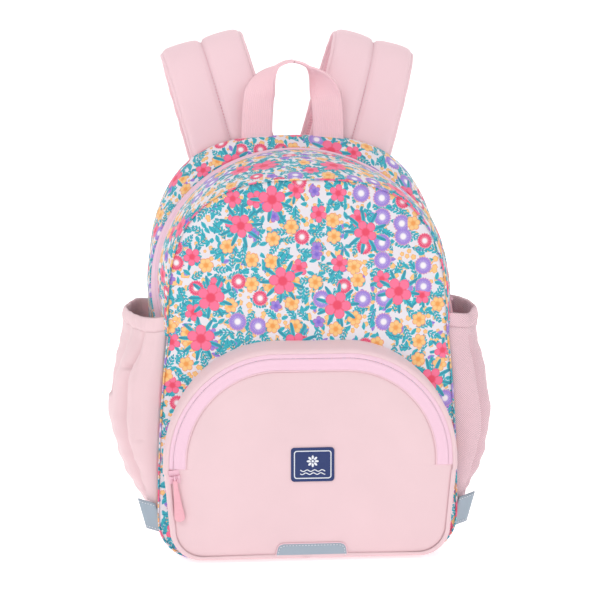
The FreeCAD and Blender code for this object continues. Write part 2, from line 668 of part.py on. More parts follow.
def frame_place(origin, along, outward):
    """A placement whose local X is along and whose local Z is outward."""
    across = outward.cross(along)
    matrix = FreeCAD.Matrix(along.x, across.x, outward.x, origin.x, along.y, across.y, outward.y, origin.y,
                            along.z, across.z, outward.z, origin.z, 0, 0, 0, 1)
    return FreeCAD.Placement(matrix)


middle, forward, outward = zip_frame(size("main_slider_angle"))
# The tongue points along the zip towards its end, which is down.
main_place = frame_place(middle, forward.cross(outward) * -1, outward)
slider("main_slider", main_place)
lift = size("slider_gap") + size("slider_thickness") + size("pin_lift")
swing = FreeCAD.Placement(Vector(0, 0, 0), FreeCAD.Rotation(BACK, -size("main_pull_lift")), Vector(0, 0, lift))
pull("main_pull", main_place * swing)

slider_turn = math.radians(size("pocket_slider_angle"))
pocket_out = Vector(-math.cos(slider_turn), 0, math.sin(slider_turn))
pocket_middle = Vector(-size("pocket_arc_centre_x"), POCKET_Y, size("pocket_arc_centre_z"))
pocket_middle += pocket_out * size("pocket_zip_radius")
pocket_place = frame_place(pocket_middle, BACK.cross(pocket_out) * -1, BACK * -1)
slider("pocket_slider", pocket_place)
pull("pocket_pull", pocket_place)

# ---------------------------------------------------------------- checks and files
doc.recompute()
for made in doc.Objects:
    assert "Invalid" not in made.State and "Error" not in made.State, (made.Label, made.State)
for made in sub_parts:
    shape = made.Shape
    assert not shape.isNull() and shape.isValid() and shape.Volume > 0, made.Label
    shape.exportStep(f"parts/{made.Label}.step")
    print(made.Label, len(shape.Solids), round(shape.Volume))
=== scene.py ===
"""A small school backpack with a floral body, plain pockets and padded straps, built round the CAD frame."""
import json
import math

import bpy
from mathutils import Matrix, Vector, noise


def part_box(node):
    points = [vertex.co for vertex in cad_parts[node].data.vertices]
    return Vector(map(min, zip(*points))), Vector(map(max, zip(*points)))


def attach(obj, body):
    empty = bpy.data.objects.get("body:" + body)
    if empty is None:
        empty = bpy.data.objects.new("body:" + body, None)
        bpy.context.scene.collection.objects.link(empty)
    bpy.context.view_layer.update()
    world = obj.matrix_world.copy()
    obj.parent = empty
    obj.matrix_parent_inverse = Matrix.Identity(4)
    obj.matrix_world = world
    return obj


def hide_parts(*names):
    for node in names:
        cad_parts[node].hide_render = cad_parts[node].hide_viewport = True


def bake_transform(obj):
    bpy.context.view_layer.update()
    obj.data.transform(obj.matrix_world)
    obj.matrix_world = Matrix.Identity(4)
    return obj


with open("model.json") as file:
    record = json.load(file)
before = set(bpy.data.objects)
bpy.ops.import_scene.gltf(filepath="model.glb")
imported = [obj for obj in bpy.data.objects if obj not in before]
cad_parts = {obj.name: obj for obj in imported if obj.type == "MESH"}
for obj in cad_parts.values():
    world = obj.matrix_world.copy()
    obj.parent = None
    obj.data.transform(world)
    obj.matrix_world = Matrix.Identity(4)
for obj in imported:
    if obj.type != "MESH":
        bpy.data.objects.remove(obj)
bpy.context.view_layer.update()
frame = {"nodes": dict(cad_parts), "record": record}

MM = 0.001
X, Y = Vector((1, 0, 0)), Vector((0, 1, 0))

# ------------------------------------------------------------------ camera, light and floor
AIM = Vector((0.0, 0.0, 0.191))
AZIMUTH, ELEVATION = math.radians(-6), math.radians(7)
DISTANCE = 1.9
FIELD = 0.473          # width of the view at the aim point, m
SENSOR = 36.0          # mm


def add_camera():
    """The camera, a little to the left of the front and a little above."""
    data = bpy.data.cameras.new("camera")
    data.sensor_width = SENSOR
    data.lens = SENSOR * DISTANCE / FIELD
    camera = bpy.data.objects.new("camera", data)
    bpy.context.scene.collection.objects.link(camera)
    away = Vector((math.sin(AZIMUTH) * math.cos(ELEVATION), -math.cos(AZIMUTH) * math.cos(ELEVATION),
                   math.sin(ELEVATION)))
    camera.location = AIM + away * DISTANCE
    camera.rotation_euler = away.to_track_quat("Z", "Y").to_euler()
    bpy.context.scene.camera = camera


def add_light(name, place, target, size, power, tint=(1, 1, 1)):
    """A soft square lamp that faces a target."""
    data = bpy.data.lights.new(name, "AREA")
    data.size = size
    data.energy = power
    data.color = tint
    lamp = bpy.data.objects.new(name, data)
    bpy.context.scene.collection.objects.link(lamp)
    lamp.location = place
    lamp.rotation_euler = (Vector(place) - Vector(target)).to_track_quat("Z", "Y").to_euler()


def add_stage():
    """A pale floor that curves up into a pale backdrop, in an even pale surround."""
    world = bpy.data.worlds.new("studio")
    world.use_nodes = True
    world.node_tree.nodes["Background"].inputs["Color"].default_value = (1.0, 1.0, 1.0, 1)
    world.node_tree.nodes["Background"].inputs["Strength"].default_value = 0.64
    bpy.context.scene.world = world
    half, bend, wall = 6.0, 1.2, 2.4
    profile = [(-half, 0.0), (wall, 0.0)]
    profile += [(wall + bend * math.sin(turn), bend * (1 - math.cos(turn)))
                for turn in (math.pi / 2 * step / 12 for step in range(1, 13))]
    profile.append((wall + bend, 5.0))
    mesh = bpy.data.meshes.new("floor")
    points = [(side * half, y, z) for y, z in profile for side in (-1, 1)]
    mesh.from_pydata(points, [], [(2 * step, 2 * step + 1, 2 * step + 3, 2 * step + 2)
                                  for step in range(len(profile) - 1)])
    for polygon in mesh.polygons:
        polygon.use_smooth = True
    floor = bpy.data.objects.new("floor", mesh)
    bpy.context.scene.collection.objects.link(floor)
    material = bpy.data.materials.new("floor")
    material.use_nodes = True
    shader = material.node_tree.nodes["Principled BSDF"]
    shader.inputs["Base Color"].default_value = (0.95, 0.95, 0.95, 1)
    shader.inputs["Roughness"].default_value = 0.8
    shader.inputs["Emission Color"].default_value = (1.0, 1.0, 1.0, 1)
    shader.inputs["Emission Strength"].default_value = 0.42
    mesh.materials.append(material)


add_camera()
add_stage()
add_light("key", (-1.2, -1.5, 1.6), (0, 0, 0.2), 0.9, 11.5)
add_light("fill", (1.5, -1.2, 0.9), (0, 0, 0.2), 1.4, 4)
add_light("top", (0, 0.2, 2.0), (0, 0, 0.2), 1.6, 5)
add_light("rim", (0.4, 1.8, 1.0), (0, 0, 0.25), 1.2, 3)
bpy.context.scene.view_settings.view_transform = "Standard"


# ------------------------------------------------------------------ shader building
def linear(red, green, blue):
    """A linear colour from 0-255 screen values."""
    def one(value):
        value /= 255
        return value / 12.92 if value <= 0.04045 else ((value + 0.055) / 1.055) ** 2.4
    return one(red), one(green), one(blue), 1


class Shader:
    """Builds one material's nodes with short calls."""

    def __init__(self, name):
        self.material = bpy.data.materials.new(name)
        self.material.use_nodes = True
        self.tree = self.material.node_tree
        self.bsdf = self.tree.nodes["Principled BSDF"]

    def put(self, socket, value):
        """Sets a socket, or links another node's output to it."""
        if isinstance(value, bpy.types.NodeSocket):
            self.tree.links.new(value, socket)
        else:
            socket.default_value = value

    def node(self, kind, **settings):
        """A new node with its properties set."""
        made = self.tree.nodes.new(kind)
        for key, value in settings.items():
            setattr(made, key, value)
        return made

    def math(self, operation, *values):
        """One arithmetic step."""
        made = self.node("ShaderNodeMath", operation=operation)
        for socket, value in zip(made.inputs, values):
            self.put(socket, value)
        return made.outputs[0]

    def step(self, value, low, high):
        """0 below low, 1 above high, smooth between; low may be above high."""
        made = self.node("ShaderNodeMapRange", interpolation_type="SMOOTHSTEP", clamp=True)
        self.put(made.inputs[0], value)
        self.put(made.inputs[1], low)
        self.put(made.inputs[2], high)
        return made.outputs[0]

    def mix(self, share, one, two):
        """A mix of two colours."""
        made = self.node("ShaderNodeMix", data_type="RGBA")
        self.put(made.inputs[0], share)
        self.put(made.inputs[6], one)
        self.put(made.inputs[7], two)
        return made.outputs[2]

    def pick(self, value, stops):
        """A colour chosen by a value, with hard changes at the stops."""
        made = self.node("ShaderNodeValToRGB")
        made.color_ramp.interpolation = "CONSTANT"
        for number, (place, colour) in enumerate(stops):
            element = made.color_ramp.elements[number] if number < 2 else made.color_ramp.elements.new(place)
            element.position = place
            element.color = colour
        self.put(made.inputs[0], value)
        return made.outputs[0]

    def cloth_uv(self):
        """Place on the flat cloth, in metres."""
        return self.node("ShaderNodeUVMap", uv_map="cloth").outputs[0]

    def split(self, vector):
        """The three parts of a vector or colour."""
        made = self.node("ShaderNodeSeparateXYZ")
        self.put(made.inputs[0], vector)
        return made.outputs[0], made.outputs[1], made.outputs[2]

    def object_place(self):
        """Place in the object's own frame."""
        return self.node("ShaderNodeTexCoord").outputs["Object"]

    def noise(self, vector, scale, detail=3.0):
        """Soft noise from 0 to 1."""
        made = self.node("ShaderNodeTexNoise")
        self.put(made.inputs["Vector"], vector)
        made.inputs["Scale"].default_value = scale
        made.inputs["Detail"].default_value = detail
        return made.outputs["Fac"]

    def bump(self, height, distance, strength=1.0, normal=None):
        """A bump from a height that runs from 0 to 1."""
        made = self.node("ShaderNodeBump")
        made.inputs["Distance"].default_value = distance
        made.inputs["Strength"].default_value = strength
        self.put(made.inputs["Height"], height)
        if normal is not None:
            self.put(made.inputs["Normal"], normal)
        return made.outputs[0]

    def finish(self, colour, roughness, normal=None, sheen=0.0, **plain):
        """Connects the surface; plain sockets get plain numbers."""
        self.put(self.bsdf.inputs["Base Color"], colour)
        self.put(self.bsdf.inputs["Roughness"], roughness)
        if normal is not None:
            self.put(self.bsdf.inputs["Normal"], normal)
        self.bsdf.inputs["Sheen Weight"].default_value = sheen
        self.bsdf.inputs["Sheen Roughness"].default_value = 0.4
        for key, value in plain.items():
            self.bsdf.inputs[key.replace("_", " ")].default_value = value
        return self.material


def weave(shader, uv, pitch):
    """The height of a plain weave: threads that pass over and under each other."""
    u, v, _ = shader.split(uv)
    turn = math.pi / pitch
    across = shader.math("SINE", shader.math("MULTIPLY", u, turn))
    along = shader.math("SINE", shader.math("MULTIPLY", v, turn))
    return shader.math("MULTIPLY_ADD", shader.math("MULTIPLY", across, along), 0.5, 0.5)


def cloth_material(name, colour, pitch=0.5 * MM, shade=0.9, sheen=0.25, rough=0.78, depth=0.12 * MM):
    """Plain woven cloth: threads, faint unevenness of dye, soft creases and a light sheen."""
    shader = Shader(name)
    uv = shader.cloth_uv()
    threads = weave(shader, uv, pitch)
    place = shader.object_place()
    uneven = shader.noise(place, 22)
    darker = tuple(value * shade for value in colour[:3]) + (1,)
    base = shader.mix(uneven, darker, colour)
    base = shader.mix(shader.math("MULTIPLY", threads, 0.16), base, darker)
    creases = shader.noise(place, 55, 2.0)
    normal = shader.bump(creases, 0.9 * MM, 0.5)
    normal = shader.bump(threads, depth, 0.6, normal)
    roughness = shader.math("MULTIPLY_ADD", uneven, 0.12, rough - 0.06)
    return shader.finish(base, roughness, normal, sheen)


# ------------------------------------------------------------------ the printed cloth
CREAM = linear(236, 230, 236)
PINK, DEEP_PINK, RED = linear(252, 112, 150), linear(236, 68, 112), linear(240, 58, 92)
PEACH, ORANGE = linear(252, 203, 128), linear(246, 158, 60)
PURPLE, TEAL, DARK_TEAL = linear(158, 130, 218), linear(12, 182, 196), linear(0, 130, 158)
WHITE = linear(250, 244, 248)
MOTIF_UNIT = 20 * MM       # a motif radius is stored as a share of this
PETAL_UNIT = 20            # a petal count is stored as a share of this


class Print(Shader):
    """The floral print: grids of motifs, each grid laid over the one before."""

    def grid(self, uv, cell, seed, randomness=0.72):
        """Local place in the nearest motif's own turned frame, its distance, angle and random numbers."""
        shifted = self.node("ShaderNodeVectorMath", operation="ADD")
        self.put(shifted.inputs[0], uv)
        shifted.inputs[1].default_value = (seed * 0.317, seed * 0.731, 0)
        cells = self.node("ShaderNodeTexVoronoi", voronoi_dimensions="2D")
        self.put(cells.inputs["Vector"], shifted.outputs[0])
        cells.inputs["Scale"].default_value = 1 / cell
        cells.inputs["Randomness"].default_value = randomness
        local = self.node("ShaderNodeVectorMath", operation="SUBTRACT")
        self.put(local.inputs[0], shifted.outputs[0])
        self.put(local.inputs[1], cells.outputs["Position"])
        kind, turn, size = self.split(cells.outputs["Color"])
        spun = self.node("ShaderNodeVectorRotate", rotation_type="Z_AXIS")
        self.put(spun.inputs["Vector"], local.outputs[0])
        self.put(spun.inputs["Angle"], self.math("MULTIPLY", turn, math.tau))
        x, y, _ = self.split(spun.outputs[0])
        far = self.math("SQRT", self.math("ADD", self.math("MULTIPLY", x, x), self.math("MULTIPLY", y, y)))
        angle = self.math("ARCTAN2", y, x)
        return x, y, far, angle, kind, size

    def inside(self, value, edge, blur=0.12 * MM):
        """1 where value is below an edge."""
        return self.step(self.math("SUBTRACT", edge, value), -blur, blur)

    def flowers(self, under, uv, cell, seed, shapes, petals, hearts):
        """Round flowers whose size, petal count and colours are chosen for each cell."""
        _, _, far, angle, kind, _ = self.grid(uv, cell, seed)
        size, count, notch = self.split(self.pick(kind, shapes))
        radius = self.math("MULTIPLY", size, MOTIF_UNIT)
        lobes = self.math("ABSOLUTE", self.math("COSINE", self.math(
            "MULTIPLY", angle, self.math("MULTIPLY", count, PETAL_UNIT / 2))))
        lobes = self.math("POWER", lobes, 0.6)
        trim = self.math("MULTIPLY", notch, self.math("SUBTRACT", 1.0, lobes))
        edge = self.math("MULTIPLY", radius, self.math("SUBTRACT", 1.0, trim))
        petal, heart = self.pick(kind, petals), self.pick(kind, hearts)
        rim = self.mix(0.55, petal, heart)
        outline = self.inside(far, self.math("SUBTRACT", edge, 0.55 * MM))
        colour = self.mix(outline, self.mix(0.5, rim, DEEP_PINK), petal)
        glow = self.inside(far, self.math("MULTIPLY", radius, 0.34), 0.9 * MM)
        rays = self.math("GREATER_THAN", self.math("ABSOLUTE", self.math("SINE", self.math(
            "MULTIPLY", angle, self.math("MULTIPLY", count, PETAL_UNIT / 2)))), 0.96)
        reach = self.inside(far, self.math("MULTIPLY", radius, 0.62))
        colour = self.mix(self.math("MULTIPLY", self.math("MULTIPLY", rays, reach), 0.6), colour, heart)
        colour = self.mix(glow, colour, heart)
        return self.mix(self.inside(far, edge), under, colour)

    def sprigs(self, under, uv, cell, seed, length, share):
        """Curved sprigs: a stem with slanting pairs of leaflets."""
        x, y, _, _, kind, _ = self.grid(uv, cell, seed)
        bent = self.math("SUBTRACT", y, self.math("MULTIPLY", self.math("MULTIPLY", x, x), 22.0))
        off = self.math("ABSOLUTE", bent)
        taper = self.math("SUBTRACT", 1.0, self.math("POWER", self.math("ABSOLUTE", self.math(
            "DIVIDE", x, length)), 2.0))
        slant = self.math("SUBTRACT", x, self.math("MULTIPLY", off, 0.8))
        phase = self.math("ABSOLUTE", self.math("SUBTRACT", self.math("FRACT", self.math(
            "DIVIDE", slant, length * 0.36)), 0.5))
        reach = self.math("MULTIPLY", taper, length * 0.42)
        along = self.math("DIVIDE", off, self.math("MAXIMUM", reach, 0.1 * MM))
        belly = self.math("MULTIPLY", self.math("SUBTRACT", 1.0, self.math("POWER", self.math(
            "ABSOLUTE", self.math("SUBTRACT", self.math("MULTIPLY", along, 1.9), 1.0)), 2.0)), 0.47)
        leaf = self.step(self.math("SUBTRACT", belly, phase), -0.03, 0.03)
        within = self.math("LESS_THAN", self.math("ABSOLUTE", x), length)
        stem = self.math("LESS_THAN", off, 0.28 * MM)
        shape = self.math("MULTIPLY", self.math("MAXIMUM", leaf, stem), within)
        shape = self.math("MULTIPLY", shape, self.math("LESS_THAN", kind, share))
        middle = self.math("LESS_THAN", phase, 0.06)
        colour = self.mix(self.math("MAXIMUM", stem, self.math("MULTIPLY", middle, 0.7)), TEAL, DARK_TEAL)
        return self.mix(shape, under, colour)

    def fans(self, under, uv, cell, seed, length, count, kinds):
        """Fans of pointed leaves that spread from one place."""
        _, _, far, angle, kind, _ = self.grid(uv, cell, seed)
        lobes = self.math("POWER", self.math("ABSOLUTE", self.math("COSINE", self.math(
            "MULTIPLY", angle, count / 2))), 2.0)
        edge = self.math("MULTIPLY", lobes, length)
        low, high = kinds
        chosen = self.math("MULTIPLY", self.math("GREATER_THAN", kind, low), self.math("LESS_THAN", kind,
            high))
        vein = self.math("GREATER_THAN", lobes, 0.93)
        colour = self.mix(self.math("MULTIPLY", vein, 0.8), TEAL, DARK_TEAL)
        return self.mix(self.math("MULTIPLY", self.inside(far, edge), chosen), under, colour)

    def blobs(self, under, uv, cell, seed, radius, share, colour, rim):
        """Small lobed dots with a darker edge."""
        _, _, far, angle, kind, size = self.grid(uv, cell, seed, 0.9)
        lobes = self.math("MULTIPLY_ADD", self.math("COSINE", self.math("MULTIPLY", angle, 5.0)), 0.09, 0.9)
        edge = self.math("MULTIPLY", lobes, self.math("MULTIPLY_ADD", size, radius * 0.6, radius * 0.55))
        shown = self.math("MULTIPLY", self.inside(far, edge), self.math("LESS_THAN", kind, share))
        core = self.inside(far, self.math("SUBTRACT", edge, 0.4 * MM))
        return self.mix(shown, under, self.mix(core, rim, colour))

    def leaves(self, under, uv, cell, seed, share, colour, rim):
        """Single pointed leaves."""
        x, y, _, _, kind, _ = self.grid(uv, cell, seed, 0.9)
        long, wide = 3.5 * MM, 1.6 * MM
        belly = self.math("SUBTRACT", 1.0, self.math("POWER", self.math("DIVIDE", x, long), 2.0))
        edge = self.math("MULTIPLY", belly, wide)
        off = self.math("ABSOLUTE", y)
        shown = self.math("MULTIPLY", self.inside(off, edge), self.math("LESS_THAN", kind, share))
        vein = self.math("LESS_THAN", off, 0.2 * MM)
        return self.mix(shown, under, self.mix(vein, colour, rim))


def shape_stop(place, radius, petals, notch):
    """A flower kind's radius in metres, petal count and depth of notch, packed for the chooser."""
    return place, (radius / MOTIF_UNIT, petals / PETAL_UNIT, notch, 1)


def print_material():
    """Woven cloth with the floral print."""
    shader = Print("floral_print")
    uv = shader.cloth_uv()
    colour = shader.blobs(CREAM, uv, 5.6 * MM, 1, 2.3 * MM, 0.75, PEACH, ORANGE)
    colour = shader.leaves(colour, uv, 7.5 * MM, 2, 0.14, PURPLE, linear(120, 95, 200))
    colour = shader.leaves(colour, uv, 6.4 * MM, 3, 0.45, TEAL, DARK_TEAL)
    colour = shader.leaves(colour, uv, 7.1 * MM, 9, 0.22, TEAL, DARK_TEAL)
    colour = shader.sprigs(colour, uv, 13 * MM, 4, 7.2 * MM, 0.75)
    colour = shader.sprigs(colour, uv, 15 * MM, 5, 7.8 * MM, 0.55)
    small = [shape_stop(0, 5.8 * MM, 6, 0.3), shape_stop(0.34, 4.6 * MM, 5, 0.42),
             shape_stop(0.44, 6.8 * MM, 5, 0.46), shape_stop(0.58, 7.0 * MM, 20, 0.16),
             shape_stop(0.72, 6.0 * MM, 18, 0.16), shape_stop(0.84, 0, 5, 0.2)]
    petals = [(0, PEACH), (0.34, PURPLE), (0.44, PINK), (0.58, PURPLE), (0.72, DEEP_PINK), (0.84, PEACH)]
    hearts = [(0, ORANGE), (0.34, linear(120, 92, 205)), (0.44, RED), (0.58, WHITE), (0.72, WHITE),
              (0.84, ORANGE)]
    colour = shader.fans(colour, uv, 16 * MM, 6, 11 * MM, 7, (0.44, 0.58))
    colour = shader.flowers(colour, uv, 16 * MM, 6, small, petals, hearts)
    big = [shape_stop(0, 10.5 * MM, 5, 0.44), shape_stop(0.5, 9.0 * MM, 5, 0.46)]
    colour = shader.fans(colour, uv, 52 * MM, 7, 17 * MM, 9, (0, 1))
    colour = shader.flowers(colour, uv, 52 * MM, 7, big, [(0, PINK), (0.5, PINK)], [(0, RED), (0.5, RED)])
    threads = weave(shader, uv, 0.5 * MM)
    place = shader.object_place()
    uneven = shader.noise(place, 30)
    shade = shader.math("MULTIPLY", shader.math("MULTIPLY_ADD", threads, 0.1, shader.math(
        "MULTIPLY", uneven, 0.12)), 1.0)
    colour = shader.mix(shade, colour, linear(150, 140, 160))
    normal = shader.bump(shader.noise(place, 60, 2.0), 0.8 * MM, 0.4)
    normal = shader.bump(threads, 0.12 * MM, 0.6, normal)
    return shader.finish(colour, 0.74, normal, 0.15)


# ------------------------------------------------------------------ other materials
PLAIN = linear(238, 206, 211)
LILAC = linear(246, 206, 224)
STRAP_PINK = linear(243, 208, 215)
WEBBING_PINK = linear(251, 207, 215)
GREY_BLUE = linear(160, 175, 188)
NAVY = linear(25, 48, 105)


def mesh_material(name, colour, pitch, hole, see_through):
    """Knitted mesh with round holes in staggered rows; the holes are darkened as painted shade of their depth, and
    in see-through mesh they also let light through.
    """
    shader = Shader(name)
    u, v, _ = shader.split(shader.cloth_uv())
    one, two = shader.math("ADD", u, v), shader.math("SUBTRACT", u, v)
    first, second = (shader.math("COSINE", shader.math("MULTIPLY", value,
        math.pi / pitch)) for value in (one, two))
    height = shader.math("ABSOLUTE", shader.math("MULTIPLY", first, second))
    holes = shader.step(height, hole, hole + 0.16)
    uneven = shader.noise(shader.object_place(), 25)
    darker = tuple(value * 0.66 for value in colour[:3]) + (1,)
    base = shader.mix(shader.math("MULTIPLY", uneven, 0.2), colour, darker)
    # painted shade: the holes are darkened, strongly in solid mesh and lightly in see-through mesh
    base = shader.mix(shader.math("MULTIPLY", holes, 0.3 if see_through else 0.8), base, darker)
    normal = shader.bump(shader.noise(shader.object_place(), 55, 2.0), 0.8 * MM, 0.4)
    normal = shader.bump(shader.math("SUBTRACT", 1.0, height), 0.35 * MM, 0.7, normal)
    if see_through:
        shader.put(shader.bsdf.inputs["Alpha"], shader.math("MULTIPLY_ADD", holes, -0.5, 1.0))
    return shader.finish(base, 0.8, normal, 0.2)


def ribbed_material(name, colour, rib, depth, rough=0.7, sheen=0.2, across=True):
    """Webbing or zip tape: ribs that run one way with fine threads across them."""
    shader = Shader(name)
    u, v, _ = shader.split(shader.cloth_uv())
    first, second = (u, v) if across else (v, u)
    ribs = shader.math("MULTIPLY_ADD", shader.math("SINE", shader.math(
        "MULTIPLY", second, math.tau / rib)), 0.5, 0.5)
    threads = shader.math("MULTIPLY_ADD", shader.math("SINE", shader.math(
        "MULTIPLY", first, math.tau / (rib * 0.6))), 0.5, 0.5)
    uneven = shader.noise(shader.object_place(), 40)
    darker = tuple(value * 0.86 for value in colour[:3]) + (1,)
    base = shader.mix(shader.math("MULTIPLY", ribs, 0.35), colour, darker)
    base = shader.mix(shader.math("MULTIPLY", uneven, 0.3), base, darker)
    normal = shader.bump(ribs, depth, 0.8)
    normal = shader.bump(threads, depth * 0.5, 0.5, normal)
    return shader.finish(base, rough, normal, sheen)


def moulded_material(name, colour, rough, grain=0.05 * MM, metal=0.0):
    """Moulded plastic, rubber or painted metal with a faint grain and small scuffs."""
    shader = Shader(name)
    place = shader.object_place()
    grains = shader.noise(place, 1800, 2.0)
    scuffs = shader.noise(place, 90)
    darker = tuple(value * 0.85 for value in colour[:3]) + (1,)
    base = shader.mix(shader.math("MULTIPLY", scuffs, 0.4), colour, darker)
    roughness = shader.math("MULTIPLY_ADD", scuffs, 0.2, rough - 0.1)
    return shader.finish(base, roughness, shader.bump(grains, grain, 0.5), 0.0, Metallic=metal)


MATERIALS = {
    "print": print_material(),
    "plain": cloth_material("plain_pink_cloth", PLAIN),
    "strap": cloth_material("strap_cloth", STRAP_PINK, 0.42 * MM, 0.93, 0.35, 0.7, 0.08 * MM),
    "mesh": mesh_material("pocket_mesh", linear(250, 212, 221), 1.5 * MM, 0.5, True),
    "air_mesh": mesh_material("air_mesh", linear(247, 200, 210), 2.4 * MM, 0.55, False),
    "tape": ribbed_material("zip_tape", LILAC, 0.9 * MM, 0.12 * MM),
    "webbing": ribbed_material("webbing", WEBBING_PINK, 1.6 * MM, 0.2 * MM),
    "piping": cloth_material("piping_cloth", linear(240, 203, 212), 0.4 * MM, 0.92),
    "thread": moulded_material("thread", linear(250, 226, 232), 0.6),
    # deep pink for the dark stitches, and also for the painted shadow line at the pocket's seam
    "seam": cloth_material("seam_line", linear(226, 148, 168), 0.4 * MM, 0.95),
    "white_thread": moulded_material("white_thread", linear(238, 240, 244), 0.6),
    "reflector": ribbed_material("reflective_tape", GREY_BLUE, 0.7 * MM, 0.06 * MM, 0.35, 0.0),
    "navy": moulded_material("label_navy", NAVY, 0.45),
    "white": moulded_material("label_white", linear(236, 240, 246), 0.5),
    "metal": moulded_material("slider_paint", linear(238, 190, 206), 0.32, 0.03 * MM, 0.25),
    "pull": moulded_material("soft_pull", linear(240, 178, 190), 0.5),
    "plastic": moulded_material("buckle_plastic", linear(238, 182, 196), 0.35),
    "board": moulded_material("board_plastic", linear(225, 225, 228), 0.6),
}

# ------------------------------------------------------------------ meshes


def add_object(name, points, faces, uvs, material, smooth=True):
    """A mesh object with its flat cloth place for each face corner."""
    mesh = bpy.data.meshes.new(name)
    mesh.from_pydata([tuple(point) for point in points], [], faces)
    layer = mesh.uv_layers.new(name="cloth")
    for loop in mesh.loops:
        layer.data[loop.index].uv = uvs[loop.vertex_index]
    mesh.materials.append(MATERIALS[material])
    for polygon in mesh.polygons:
        polygon.use_smooth = smooth
    made = bpy.data.objects.new(name, mesh)
    bpy.context.scene.collection.objects.link(made)
    return made


def thicken(piece, thickness, offset=-1.0):
    """Gives a sheet its thickness."""
    solid = piece.modifiers.new("thickness", "SOLIDIFY")
    solid.thickness = thickness
    solid.offset = offset
    return piece


def smooth_out(piece, levels=1):
    """One subdivision."""
    piece.modifiers.new("smooth", "SUBSURF").levels = levels
    piece.modifiers["smooth"].render_levels = levels
    return piece


def grid_piece(name, rows, material, closed=False, uv_scale=1.0, uv_origin=(0, 0)):
    """A sheet through rows of points; each row has the same number, and closed joins its ends."""
    count = len(rows[0])
    points = [point for row in rows for point in row]
    middle = rows[len(rows) // 2]
    along = [0.0]
    for before, after in zip(middle, middle[1:]):
        along.append(along[-1] + (after - before).length)
    centre = along[-1] / 2
    across = [[0.0] * count]
    for before, after in zip(rows, rows[1:]):
        across.append([length + (two - one).length for length, one, two in zip(across[-1], before, after)])
    uvs = [((along[column] - centre) * uv_scale + uv_origin[0],
        across[row][column] * uv_scale + uv_origin[1])
           for row in range(len(rows)) for column in range(count)]
    faces = []
    for row in range(len(rows) - 1):
        for column in range(count if closed else count - 1):
            after = (column + 1) % count
            faces.append((row * count + column, row * count + after,
                          (row + 1) * count + after, (row + 1) * count + column))
    return add_object(name, points, faces, uvs, material)


def fan_piece(name, ring, centre, steps, material, surface):
    """A sheet inside a closed ring in the XZ plane; surface gives the depth at x, z and the share t."""
    points = [Vector((centre[0], surface(centre[0], centre[1], 0.0), centre[1]))]
    for step in range(1, steps + 1):
        share = step / steps
        for point in ring:
            x = centre[0] + (point.x - centre[0]) * share
            z = centre[1] + (point.z - centre[1]) * share
            points.append(Vector((x, surface(x, z, share), z)))
    count = len(ring)
    faces = [(0, 1 + (column + 1) % count, 1 + column) for column in range(count)]
    for step in range(steps - 1):
        first = 1 + step * count
        for column in range(count):
            after = (column + 1) % count
            faces.append((first + column, first + after, first + count + after, first + count + column))
    uvs = [(point.x, point.z) for point in points]
    return add_object(name, points, faces, uvs, material)


def tube_piece(name, path, radius, material, closed=False, sides=10, flat=1.0, normals=None):
    """A round or flattened tube along a path."""
    rows = []
    count = len(path)
    for number, point in enumerate(path):
        before = path[(number - 1) % count] if closed or number else path[0]
        after = path[(number + 1) % count] if closed or number < count - 1 else path[-1]
        along = (after - before).normalized()
        normal = normals[number] if normals else (Y - along * Y.dot(along)).normalized()
        across = along.cross(normal)
        rows.append([point + across * math.cos(turn) * radius + normal * math.sin(turn) * radius * flat
                     for turn in (math.tau * side / sides for side in range(sides))])
    points = [point for row in rows for point in row]
    faces, lengths = [], [0.0]
    for before, after in zip(path, path[1:]):
        lengths.append(lengths[-1] + (after - before).length)
    for row in range(count if closed else count - 1):
        following = (row + 1) % count
        for side in range(sides):
            other = (side + 1) % sides
            faces.append((row * sides + side, following * sides + side,
                          following * sides + other, row * sides + other))
    if not closed:
        faces.append(tuple(range(sides)))
        faces.append(tuple(reversed(range((count - 1) * sides, count * sides))))
    uvs = [(lengths[row], side * radius) for row in range(count) for side in range(sides)]
    return add_object(name, points, faces, uvs, material)


def stitches(name, path, normals, material="thread", pitch=2.6 * MM, length=1.7 * MM, radius=0.26 * MM):
    """A row of stitches along a path: small rounded bars that lie on the cloth."""
    lengths = [0.0]
    for before, after in zip(path, path[1:]):
        lengths.append(lengths[-1] + (after - before).length)
    points, faces = [], []
    place, index = pitch * 0.5, 0
    while place < lengths[-1]:
        while lengths[index + 1] < place:
            index += 1
        share = (place - lengths[index]) / (lengths[index + 1] - lengths[index])
        centre = path[index].lerp(path[index + 1], share)
        along = (path[index + 1] - path[index]).normalized()
        normal = normals[index]
        across = along.cross(normal).normalized()
        first = len(points)
        for end, width, rise in ((-0.5, 0.3, -0.2), (-0.3, 1.0, 0.55), (0.3, 1.0, 0.55), (0.5, 0.3, -0.2)):
            middle = centre + along * end * length
            points += [middle - across * radius * width - normal * radius * 0.3,
                       middle + normal * radius * rise,
                           middle + across * radius * width - normal * radius * 0.3]
        for row in range(3):
            at_row = first + row * 3
            faces += [(at_row, at_row + 1, at_row + 4, at_row + 3),
                      (at_row + 1, at_row + 2, at_row + 5, at_row + 4),
                      (at_row + 2, at_row, at_row + 3, at_row + 5)]
        faces += [(first, first + 2, first + 1), (first + 9, first + 10, first + 11)]
        place += pitch
    return add_object(name, points, faces, [(point.x, point.z) for point in points], material)


